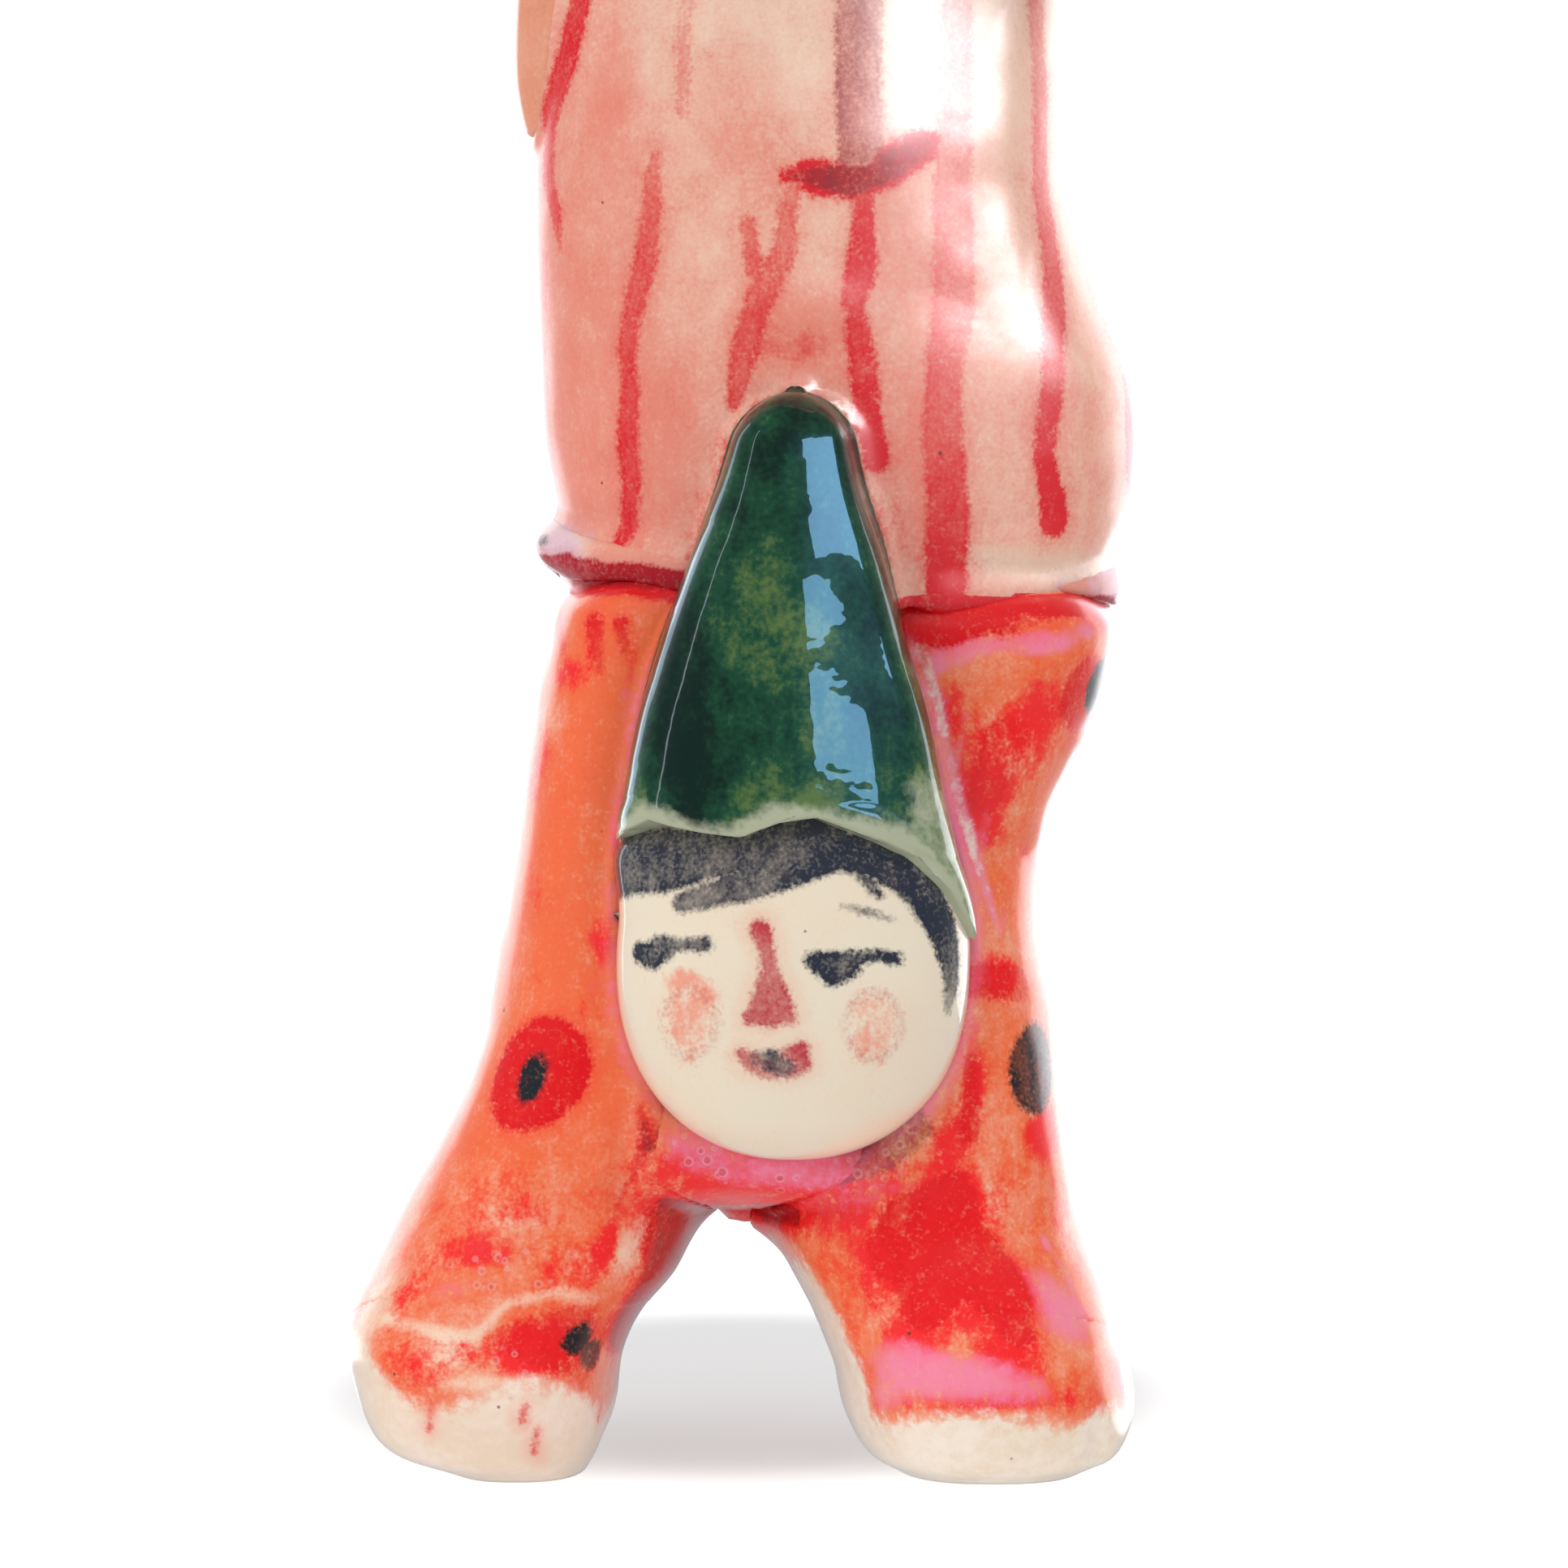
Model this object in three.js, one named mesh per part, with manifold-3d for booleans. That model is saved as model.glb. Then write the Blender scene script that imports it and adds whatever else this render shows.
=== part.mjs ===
// A tomte (house gnome) figurine: a hand-built, glazed ceramic figure that carries a small gnome's head on
// its front. It is modelled as the lumps, coils and pinched shells of clay that it was luted together from.
// Millimetres. +Z is up and -Y is the front. The origin is on the table, under the middle of the figure.

import * as THREE from "three";
import { mergeVertices } from "three/addons/utils/BufferGeometryUtils.js";
import Module from "manifold-3d";

// ---------------------------------------------------------------- driving dimensions

const GAP = 0.3; // left between neighbouring pieces, where the slip was
const WALL = 3.4; // thickness of the pinched shells
const ANKLE = 8.4; // the legs stand on the feet here
const HEM = 44.2; // the tunic stands on the legs here
const SHOULDER = 91.0; // flat top of the tunic
const HAT_TIP = 137.0;
const AIR_WAY = 1.8; // radius of the hole that joins the head's hollow to the tunic's
const VENT = 0.9; // radius of the firing vent that opens in the arch between the legs
const VENT_FOOT = new THREE.Vector3(-0.4, 3, 8);
const VENT_HEAD = new THREE.Vector3(2.5, 3, 60);
const HEAD_CENTRE = new THREE.Vector3(3.1, 3.0, 103.6);
const HEAD_RADII = new THREE.Vector3(9.6, 8.8, 10.2);
const SMALL_HEAD_CENTRE = new THREE.Vector3(2.7, -7.8, 26.4);
const SMALL_HEAD_RADII = new THREE.Vector3(8.8, 5.4, 9.8);

// ---------------------------------------------------------------- lumps: stacks of soft oval slices

// Each slice is [height, left, right, front, back]. power rounds the oval: 2 is an ellipse, more is squarer.
// domes are the heights of the rounded lower and upper ends; 0 leaves that end flat.
const LUMPS = {
  left_foot: {
    power: 2.6, domes: [0, 0], rows: 9, around: 22,
    slices: [
      [0.0, -14.8, -7.8, -5.6, 7.4],
      [1.2, -17.6, -7.1, -8.0, 9.4],
      [3.0, -19.1, -6.3, -9.4, 10.5],
      [5.6, -19.9, -6.0, -9.8, 10.9],
      [7.2, -20.1, -5.5, -9.3, 10.8],
      [ANKLE - GAP, -19.9, -5.0, -8.8, 10.8],
    ],
  },
  right_foot: {
    power: 2.6, domes: [0, 0], rows: 9, around: 22,
    slices: [
      [0.0, 8.0, 17.6, -6.2, 8.2],
      [1.0, 6.4, 19.3, -8.2, 9.8],
      [3.0, 5.3, 20.1, -9.2, 10.6],
      [5.4, 4.8, 19.8, -9.4, 10.9],
      [7.2, 4.1, 19.3, -9.1, 10.8],
      [ANKLE - GAP, 3.6, 19.0, -8.7, 10.8],
    ],
  },
  left_leg: {
    power: 2.4, domes: [0, 0], rows: 15, around: 24,
    slices: [
      [ANKLE, -19.8, -4.8, -8.7, 10.8],
      [10.4, -18.8, -3.2, -8.1, 10.9],
      [13.2, -17.4, -2.0, -7.4, 11.1],
      [16.0, -15.8, -1.2, -7.0, 11.4],
      [20.0, -13.9, -0.4, -6.7, 11.7],
      [25.0, -12.5, 0.0, -6.5, 12.0],
      [31.0, -11.6, 0.0, -6.5, 12.0],
      [37.0, -11.0, 0.0, -6.5, 11.8],
      [HEM - GAP, -9.6, 0.0, -6.6, 11.4],
    ],
  },
  right_leg: {
    power: 2.4, domes: [0, 0], rows: 16, around: 24,
    slices: [
      [ANKLE, 3.5, 19.0, -8.7, 10.8],
      [10.6, 2.5, 18.2, -8.1, 10.9],
      [12.8, 1.4, 17.4, -7.5, 11.1],
      [15.0, 2.2, 17.1, -7.1, 11.3],
      [19.0, 3.8, 16.6, -6.8, 11.7],
      [24.0, 4.9, 16.1, -6.5, 12.0],
      [28.5, 5.0, 15.4, -6.5, 12.0],
      [34.0, 5.0, 16.2, -6.5, 12.0],
      [38.0, 5.0, 18.1, -6.6, 11.8],
      [HEM - GAP, 5.0, 19.5, -6.7, 11.4],
    ],
  },
  // The block between the legs, which closes the arch and takes the small head.
  saddle: {
    power: 2.3, domes: [1.6, 0], rows: 11, around: 20,
    slices: [
      [13.3, -4.6, 4.8, -6.0, 10.4],
      [16.0, -5.8, 7.2, -6.8, 11.2],
      [20.0, -5.4, 7.4, -6.5, 11.4],
      [26.0, -2.6, 7.0, -6.0, 11.4],
      [34.0, -2.2, 6.6, -6.0, 11.2],
      [HEM - GAP, -2.2, 6.6, -6.0, 10.6],
    ],
  },
  tunic: {
    power: 2.3, domes: [0, 0], rows: 20, around: 28,
    slices: [
      [HEM, -8.7, 18.3, -6.6, 11.4],
      [46.8, -8.8, 19.0, -6.9, 12.0],
      [49.0, -9.3, 20.0, -7.1, 12.5],
      [52.3, -10.0, 20.4, -7.2, 12.8],
      [56.0, -10.2, 20.1, -7.1, 12.7],
      [60.0, -10.4, 18.6, -6.9, 12.3],
      [65.0, -10.5, 16.9, -6.7, 11.8],
      [68.0, -10.4, 16.6, -6.5, 11.6],
      [71.0, -10.3, 16.5, -6.0, 11.4],
      [74.0, -10.2, 16.5, -5.5, 11.3],
      [77.0, -10.0, 16.6, -5.1, 11.2],
      [82.0, -9.2, 15.9, -5.0, 10.8],
      [86.5, -7.2, 13.8, -4.2, 9.6],
      [89.6, -4.6, 10.9, -2.4, 8.2],
      [SHOULDER, -2.6, 8.8, -1.2, 7.2],
    ],
  },
  small_hat: {
    power: 2.2, domes: [0, 2.4], rows: 14, around: 24,
    slices: [
      [27.0, -6.0, 11.7, -12.7, -3.6],
      [29.5, -6.2, 11.5, -13.0, -3.6],
      [32.0, -6.2, 10.9, -13.0, -3.6],
      [35.0, -5.7, 10.2, -12.8, -3.8],
      [39.0, -4.9, 9.4, -12.4, -4.0],
      [43.0, -3.7, 8.2, -11.9, -4.2],
      [47.0, -2.3, 7.1, -11.4, -4.4],
      [50.4, -0.9, 6.0, -10.6, -4.8],
      [54.8, 0.5, 5.1, -9.6, -5.2],
    ],
  },
  hat: {
    power: 2.1, domes: [0, 2.6], rows: 15, around: 26,
    slices: [
      [104.6, -7.3, 13.5, -6.6, 12.6],
      [107.5, -7.4, 13.6, -6.7, 12.7],
      [111.0, -6.8, 13.1, -6.2, 12.3],
      [116.0, -5.0, 11.6, -4.7, 11.3],
      [121.0, -3.0, 9.9, -3.0, 10.1],
      [126.0, -0.9, 8.3, -1.1, 8.9],
      [131.0, 1.3, 7.0, 0.7, 7.9],
      [HAT_TIP, 3.4, 6.4, 2.4, 7.2],
    ],
  },
  neck: {
    power: 2.0, domes: [0, 0], rows: 4, around: 16,
    slices: [
      [SHOULDER + GAP, -1.2, 7.4, -0.8, 6.8],
      [94.6, -1.2, 7.4, -0.8, 6.8],
    ],
  },
};

// Round beads of clay: a centre and three radii.
const BEADS = {
  small_head: { centre: SMALL_HEAD_CENTRE, radii: SMALL_HEAD_RADII, power: 2.2, rows: 14, around: 24 },
  head: { centre: HEAD_CENTRE, radii: HEAD_RADII, power: 2.1, rows: 15, around: 26 },
};

// Rolled coils: the points that the coil's middle follows, and its radius at the start, middle and end.
const COILS = {
  left_arm: {
    radii: [3.4, 3.1, 2.7], rows: 12, around: 14,
    points: [[-3.6, 3.0, 88.4], [-7.4, 2.4, 86.0], [-9.4, 1.2, 82.6], [-9.7, 0.8, 79.0]],
  },
  left_hand: {
    radii: [2.0, 1.8, 0.9], rows: 10, around: 12,
    points: [[-9.7, 0.8, 78.6], [-9.6, 1.0, 74.4], [-10.1, 1.0, 68.2]],
  },
  right_arm: {
    radii: [3.4, 3.1, 2.6], rows: 16, around: 14,
    points: [
      [10.2, 3.0, 88.6], [14.4, 2.6, 86.0], [16.8, 0.2, 82.8],
      [15.8, -4.0, 80.8], [12.0, -6.6, 81.0], [8.8, -7.2, 82.2],
    ],
  },
  right_hand: {
    radii: [1.9, 2.2, 1.5], rows: 10, around: 12,
    points: [[9.2, -7.2, 82.0], [6.6, -6.9, 83.2], [3.4, -5.9, 85.0]],
  },
};

// The rolls that finish the tunic's two edges. The hem's is open at the front, where the small hat stands.
const HEM_ROLL = {
  radii: [1.6, 1.3, 1.4], rows: 30, around: 10,
  opening: [-0.5, 0.4], // radians either side of the front, seen from above
  heights: [45.0, 47.2, 46.2, 45.3, 44.0], // from the left of the hat, round the back, to its right
};
const COLLAR = { across: 5.3, deep: 4.9, height: 92.3, radius: 1.25, tube: 9, around: 22 };

const COLOURS = {
  leg_glaze: 0xe0604a,
  boot_clay: 0xead9bd,
  tunic_glaze: 0xdcab9a,
  hem_glaze: 0xd0a0ac,
  hat_glaze: 0x24402f,
  face_clay: 0xeadcc0,
  hand_clay: 0xd59a78,
};

// ---------------------------------------------------------------- shapes

// The slice at a height, by a smooth curve through the slices.
function sliceAt(slices, height) {
  const last = slices.length - 1;
  let i = 0;
  while (i < last - 1 && height > slices[i + 1][0]) i++;
  const [a, b] = [slices[i], slices[i + 1]];
  const [before, after] = [slices[Math.max(i - 1, 0)], slices[Math.min(i + 2, last)]];
  const span = b[0] - a[0];
  const t = THREE.MathUtils.clamp((height - a[0]) / span, 0, 1);
  return a.map((_, k) => {
    const startSlope = ((b[k] - before[k]) / (b[0] - before[0])) * span;
    const endSlope = ((after[k] - a[k]) / (after[0] - a[0])) * span;
    const rise = 3 * (b[k] - a[k]) - 2 * startSlope - endSlope;
    const bend = 2 * (a[k] - b[k]) + startSlope + endSlope;
    return a[k] + t * (startSlope + t * (rise + t * bend));
  });
}

// How wide a domed end still is at this distance from its pole, as a share of the full width.
const domed = (fromPole, dome) =>
  dome > 0 && fromPole < dome ? Math.sqrt(Math.max(0, 1 - (1 - fromPole / dome) ** 2)) : 1;

const signedPower = (value, power) => Math.sign(value) * Math.abs(value) ** power;

// A sphere's grid whose every row is put where place(row, angle) says; row 0 is the lower pole.
function moulded(rows, around, place) {
  const geometry = new THREE.SphereGeometry(1, around, rows);
  const position = geometry.getAttribute("position");
  for (let down = 0; down <= rows; down++) {
    for (let step = 0; step <= around; step++) {
      const angle = (2 * Math.PI * (step % around)) / around;
      const p = place(rows - down, angle);
      position.setXYZ(down * (around + 1) + step, p.x, p.y, p.z);
    }
  }
  return geometry;
}

// A stack of soft oval slices. grow makes it bigger all round, for cutting a neighbour back.
function lump({ slices, power, domes, rows, around }, grow = 0) {
  const bottom = slices[0][0] - grow;
  const top = slices.at(-1)[0] + grow;
  const [first, last] = [domes[0] ? 0 : 1, domes[1] ? rows : rows - 1];
  const [startTurn, endTurn] = [domes[0] ? 0 : Math.PI / 2, domes[1] ? Math.PI : Math.PI / 2];
  const even = startTurn === endTurn;
  const share = (row) => {
    const t = THREE.MathUtils.clamp((row - first) / (last - first), 0, 1);
    const turn = startTurn + (endTurn - startTurn) * t;
    return even ? t : (Math.cos(startTurn) - Math.cos(turn)) / (Math.cos(startTurn) - Math.cos(endTurn));
  };
  return moulded(rows, around, (row, angle) => {
    const z = bottom + (top - bottom) * share(row);
    const [, left, right, front, back] = sliceAt(slices, z);
    const pole = row === 0 || row === rows;
    const size = pole ? 0 : domed(z - bottom, domes[0]) * domed(top - z, domes[1]);
    const across = ((right - left) / 2 + grow) * size;
    const deep = ((back - front) / 2 + grow) * size;
    return {
      x: (left + right) / 2 + across * signedPower(Math.cos(angle), 2 / power),
      y: (front + back) / 2 + deep * signedPower(Math.sin(angle), 2 / power),
      z,
    };
  });
}

// A bead: an ellipsoid, a little squarer than a true one.
function bead({ centre, radii, power, rows, around }, grow = 0) {
  return moulded(rows, around, (row, angle) => {
    const turn = (Math.PI * row) / rows;
    const size = row === 0 || row === rows ? 0 : Math.sin(turn) ** (2 / power);
    return {
      x: centre.x + (radii.x + grow) * size * signedPower(Math.cos(angle), 2 / power),
      y: centre.y + (radii.y + grow) * size * signedPower(Math.sin(angle), 2 / power),
      z: centre.z - (radii.z + grow) * signedPower(Math.cos(turn), 2 / power),
    };
  });
}

// A round-ended coil along a curve.
function coil({ points, radii, rows, around }, grow = 0) {
  const curve = new THREE.CatmullRomCurve3(points.map((p) => new THREE.Vector3(...p)));
  const length = curve.getLength();
  const steps = 240;
  const frames = curve.computeFrenetFrames(steps);
  const [start, middle, end] = radii;
  return moulded(rows, around, (row, angle) => {
    const t = row / rows;
    const step = Math.round(steps * (t - (0.75 * Math.sin(2 * Math.PI * t)) / (2 * Math.PI)));
    const along = step / steps;
    const ends = THREE.MathUtils.lerp(start, end, along);
    const radius = THREE.MathUtils.lerp(ends, middle, 4 * along * (1 - along));
    const tipped = row === 0 || row === rows;
    const size = tipped ? 0 : (radius + grow) * domed(Math.min(along, 1 - along) * length, radius);
    const reach = row === 0 ? -grow : row === rows ? grow : 0;
    return curve
      .getPointAt(along)
      .addScaledVector(frames.normals[step], size * Math.cos(angle))
      .addScaledVector(frames.binormals[step], size * Math.sin(angle))
      .addScaledVector(frames.tangents[step], reach);
  });
}

// The line that the hem's coil follows round the tunic's lower edge, from one side of the small hat to the
// other, by way of the back.
function hemLine() {
  const [, left, right, front, back] = sliceAt(LUMPS.tunic.slices, HEM + 1);
  const [from, to] = [HEM_ROLL.opening[0], HEM_ROLL.opening[1] - 2 * Math.PI];
  const count = 28;
  return Array.from({ length: count + 1 }, (_, i) => {
    const t = i / count;
    const angle = from + (to - from) * t;
    const heightAt = t * (HEM_ROLL.heights.length - 1);
    const low = Math.min(Math.floor(heightAt), HEM_ROLL.heights.length - 2);
    return [
      (left + right) / 2 + ((right - left) / 2 + 0.3) * signedPower(Math.sin(angle), 0.87),
      (front + back) / 2 - ((back - front) / 2 + 0.3) * signedPower(Math.cos(angle), 0.87),
      THREE.MathUtils.lerp(HEM_ROLL.heights[low], HEM_ROLL.heights[low + 1], heightAt - low),
    ];
  });
}

function collarRing() {
  const { across, deep, height, radius, tube, around } = COLLAR;
  const geometry = new THREE.TorusGeometry(1, radius, tube, around);
  const position = geometry.getAttribute("position");
  for (let i = 0; i < position.count; i++) {
    const [x, y, z] = [position.getX(i), position.getY(i), position.getZ(i)];
    const angle = Math.atan2(y, x);
    const out = Math.hypot(x, y) - 1;
    position.setXYZ(
      i,
      HEAD_CENTRE.x + (across + out) * Math.cos(angle),
      HEAD_CENTRE.y + (deep + out) * Math.sin(angle),
      height + z,
    );
  }
  return geometry;
}

function cylinderBetween(from, to, radius) {
  const geometry = new THREE.CylinderGeometry(radius, radius, from.distanceTo(to), 12);
  const turn = new THREE.Quaternion().setFromUnitVectors(
    new THREE.Vector3(0, 1, 0),
    to.clone().sub(from).normalize(),
  );
  geometry.applyQuaternion(turn);
  const middle = from.clone().add(to).multiplyScalar(0.5);
  return geometry.translate(middle.x, middle.y, middle.z);
}

// ---------------------------------------------------------------- joining and cutting

const wasm = await Module();
wasm.setup();

function solid(geometry) {
  const bare = geometry.clone();
  bare.deleteAttribute("normal");
  bare.deleteAttribute("uv");
  const merged = mergeVertices(bare, 1e-4);
  return new wasm.Manifold(
    new wasm.Mesh({
      numProp: 3,
      vertProperties: new Float32Array(merged.getAttribute("position").array),
      triVerts: new Uint32Array(merged.index.array),
    }),
  );
}

function geometryOf(manifold) {
  const mesh = manifold.getMesh();
  const geometry = new THREE.BufferGeometry();
  geometry.setAttribute("position", new THREE.BufferAttribute(mesh.vertProperties, 3));
  geometry.setIndex(new THREE.BufferAttribute(mesh.triVerts, 1));
  geometry.computeVertexNormals();
  return geometry;
}

const lumpSolid = (name, grow) => solid(lump(LUMPS[name], grow));
const beadSolid = (name, grow) => solid(bead(BEADS[name], grow));
const coilSolid = (name, grow) => solid(coil(COILS[name], grow));
const without = (piece, ...others) => others.reduce((left, other) => left.subtract(other), piece);

// The largest of the bodies that a cut leaves: the thin rim's crumbs are dropped.
function mainBody(piece) {
  const bodies = piece.decompose();
  return bodies.reduce((best, body) => (body.volume() > best.volume() ? body : best));
}

// The tunic's hollow: its slices drawn in by the wall, open below and into the neck.
function tunicHollow() {
  const inner = LUMPS.tunic.slices
    .filter(([z]) => z < SHOULDER - WALL)
    .map(([z, left, right, front, back]) => [z, left + WALL, right - WALL, front + WALL, back - WALL]);
  inner[0][0] -= 1;
  const neckAxis = (z) => new THREE.Vector3(HEAD_CENTRE.x, HEAD_CENTRE.y, z);
  const airWay = solid(cylinderBetween(neckAxis(80), neckAxis(SHOULDER + 2), AIR_WAY));
  return solid(lump({ ...LUMPS.tunic, slices: inner, domes: [0, 5], rows: 12, around: 20 })).add(airWay);
}

// The head's hollow: a smaller bead, open down through the neck.
function headHollow() {
  const radii = HEAD_RADII.clone().subScalar(WALL);
  const inner = solid(bead({ centre: HEAD_CENTRE, radii, power: 2, rows: 9, around: 14 }));
  const below = HEAD_CENTRE.clone().setZ(HEAD_CENTRE.z - HEAD_RADII.z - 2);
  return inner.add(solid(cylinderBetween(below, HEAD_CENTRE, AIR_WAY)));
}

function buildSolids() {
  const smallHead = beadSolid("small_head");
  const smallHeadSeat = beadSolid("small_head", GAP);
  const smallHatSeat = lumpSolid("small_hat", GAP);
  const smallHat = mainBody(without(lumpSolid("small_hat"), smallHeadSeat));
  const legSeats = [lumpSolid("left_leg", GAP), lumpSolid("right_leg", GAP)];
  const vent = solid(cylinderBetween(VENT_FOOT, VENT_HEAD, VENT));
  const smallGnomeSeats = [smallHeadSeat, smallHatSeat];

  const leftLeg = without(lumpSolid("left_leg"), ...smallGnomeSeats);
  const rightLeg = without(lumpSolid("right_leg"), ...smallGnomeSeats);
  const saddle = without(lumpSolid("saddle"), ...legSeats, ...smallGnomeSeats, vent);

  const headSeat = beadSolid("head", GAP);
  const neckAirWay = solid(
    cylinderBetween(
      new THREE.Vector3(HEAD_CENTRE.x, HEAD_CENTRE.y, SHOULDER - 2),
      new THREE.Vector3(HEAD_CENTRE.x, HEAD_CENTRE.y, SHOULDER + 10),
      AIR_WAY,
    ),
  );
  const neck = without(lumpSolid("neck"), headSeat, neckAirWay);
  const head = beadSolid("head").subtract(headHollow());
  const hat = without(lumpSolid("hat"), headSeat);

  const tunicSeat = lumpSolid("tunic", GAP);
  const tunic = without(lumpSolid("tunic"), tunicHollow(), ...smallGnomeSeats);
  const leftArm = without(coilSolid("left_arm"), tunicSeat);
  const rightArm = without(coilSolid("right_arm"), tunicSeat);
  const leftHand = without(coilSolid("left_hand"), tunicSeat, coilSolid("left_arm", GAP));
  const rightHand = without(coilSolid("right_hand"), tunicSeat, coilSolid("right_arm", GAP));
  const hemRoll = without(
    solid(coil({ ...HEM_ROLL, points: hemLine() })),
    tunicSeat,
    ...legSeats,
    ...smallGnomeSeats,
  );
  const collar = without(solid(collarRing()), tunicSeat, headSeat, lumpSolid("neck", GAP));

  return {
    left_foot: [lumpSolid("left_foot"), "boot_clay"],
    right_foot: [lumpSolid("right_foot"), "boot_clay"],
    left_leg: [leftLeg, "leg_glaze"],
    right_leg: [rightLeg, "leg_glaze"],
    saddle: [saddle, "leg_glaze"],
    small_head: [smallHead, "face_clay"],
    small_hat: [smallHat, "hat_glaze"],
    tunic: [tunic, "tunic_glaze"],
    hem_roll: [hemRoll, "hem_glaze"],
    left_arm: [leftArm, "tunic_glaze"],
    right_arm: [rightArm, "tunic_glaze"],
    left_hand: [leftHand, "hand_clay"],
    right_hand: [rightHand, "hand_clay"],
    collar_roll: [collar, "hem_glaze"],
    neck: [neck, "face_clay"],
    head: [head, "face_clay"],
    hat: [hat, "hat_glaze"],
  };
}

// ---------------------------------------------------------------- the figure

const figure = new THREE.Group();
for (const [name, [made, finish]] of Object.entries(buildSolids())) {
  const glaze = new THREE.MeshStandardMaterial({ color: COLOURS[finish], roughness: 0.15, metalness: 0 });
  const mesh = new THREE.Mesh(geometryOf(made), glaze);
  mesh.name = name;
  figure.add(mesh);
}

export default figure;
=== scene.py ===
"""A tomte (house gnome) figurine in hand-built, brushed and glazed clay.

Shapes are worked out in millimetres and put into the meshes in metres. -Y is the figure's front, and left and right
are those of someone facing it. Every piece of clay is a grid of points, smeared over the pieces next to it, with its
painting kept as attributes: the depth inside each brush stroke in millimetres, and how much pigment is there.
"""

import math

import bpy
import numpy as np
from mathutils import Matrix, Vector


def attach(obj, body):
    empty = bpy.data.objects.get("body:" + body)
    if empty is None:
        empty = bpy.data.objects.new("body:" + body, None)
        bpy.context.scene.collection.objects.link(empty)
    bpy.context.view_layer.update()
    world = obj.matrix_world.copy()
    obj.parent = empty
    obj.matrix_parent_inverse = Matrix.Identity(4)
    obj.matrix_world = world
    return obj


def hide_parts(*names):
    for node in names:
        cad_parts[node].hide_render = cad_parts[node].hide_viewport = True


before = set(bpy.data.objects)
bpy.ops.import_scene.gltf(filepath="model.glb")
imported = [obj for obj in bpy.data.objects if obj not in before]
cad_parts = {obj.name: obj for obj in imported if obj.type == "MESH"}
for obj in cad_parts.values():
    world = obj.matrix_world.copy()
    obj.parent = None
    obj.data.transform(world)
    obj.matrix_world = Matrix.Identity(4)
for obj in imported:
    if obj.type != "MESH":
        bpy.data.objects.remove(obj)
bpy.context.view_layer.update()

MM = 0.001
FINE = 1.0

# ---------------------------------------------------------------- the figure's driving sizes, in millimetres

EYE_DISTANCE, EYE_ON, EYE_TILT = 330.0, (2.25, 34.95), math.radians(3)
ANKLE = 8.4
HEM = 44.2
SHOULDER = 91.0
HAT_TIP = 137.0
HEAD_CENTRE, HEAD_RADII = (3.1, 3.0, 103.6), (9.6, 8.8, 10.2)
SMALL_HEAD_CENTRE, SMALL_HEAD_RADII = (2.7, -7.8, 26.4), (8.8, 5.4, 9.8)
VENT_FOOT, VENT_RADIUS = (-0.4, 3.0), 0.9

# Each slice of a lump is height, left, right, front, back.
LEFT_LEG = [
    (0.0, -14.8, -7.8, -5.6, 7.4),
    (1.2, -17.6, -7.1, -8.0, 9.4),
    (3.0, -19.1, -6.3, -9.4, 10.5),
    (5.6, -19.9, -6.0, -9.8, 10.9),
    (7.2, -20.1, -5.5, -9.3, 10.8),
    (ANKLE, -19.8, -4.8, -8.7, 10.8),
    (10.4, -18.8, -3.2, -8.1, 10.9),
    (13.2, -17.4, -2.0, -7.4, 11.1),
    (16.0, -15.8, -1.2, -7.0, 11.4),
    (20.0, -13.9, -0.4, -6.7, 11.7),
    (25.0, -12.5, 0.0, -6.5, 12.0),
    (31.0, -11.6, 0.0, -6.5, 12.0),
    (37.0, -11.0, 0.0, -6.5, 11.8),
    (43.4, -9.7, 0.0, -6.6, 11.4),
    (45.0, -8.6, 0.0, -5.6, 10.6),
    (46.4, -5.0, -1.0, -3.0, 7.6),
]
RIGHT_LEG = [
    (0.0, 8.0, 17.6, -6.2, 8.2),
    (1.0, 6.4, 19.3, -8.2, 9.8),
    (3.0, 5.3, 20.1, -9.2, 10.6),
    (5.4, 4.8, 19.8, -9.4, 10.9),
    (7.2, 4.1, 19.3, -9.1, 10.8),
    (ANKLE, 3.6, 19.0, -8.7, 10.8),
    (10.6, 2.5, 18.2, -8.1, 10.9),
    (12.8, 1.4, 17.4, -7.5, 11.1),
    (15.0, 2.2, 17.1, -7.1, 11.3),
    (19.0, 3.8, 16.6, -6.8, 11.7),
    (24.0, 4.9, 16.1, -6.5, 12.0),
    (28.5, 5.0, 15.4, -6.5, 12.0),
    (34.0, 5.0, 16.2, -6.5, 12.0),
    (38.0, 5.0, 18.1, -6.6, 11.8),
    (43.0, 5.0, 19.4, -6.7, 11.4),
    (44.8, 5.0, 18.0, -5.4, 10.6),
    (46.2, 6.0, 14.4, -3.0, 7.6),
]
SADDLE = [
    (13.3, -7.5, 8.5, -6.6, 10.4),
    (16.0, -8.0, 9.6, -6.8, 11.1),
    (20.0, -7.0, 9.4, -6.5, 11.4),
    (26.0, -5.0, 9.6, -6.0, 11.7),
    (34.0, -5.0, 10.0, -6.0, 11.7),
    (46.0, -5.0, 10.0, -5.6, 10.4),
]
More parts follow.
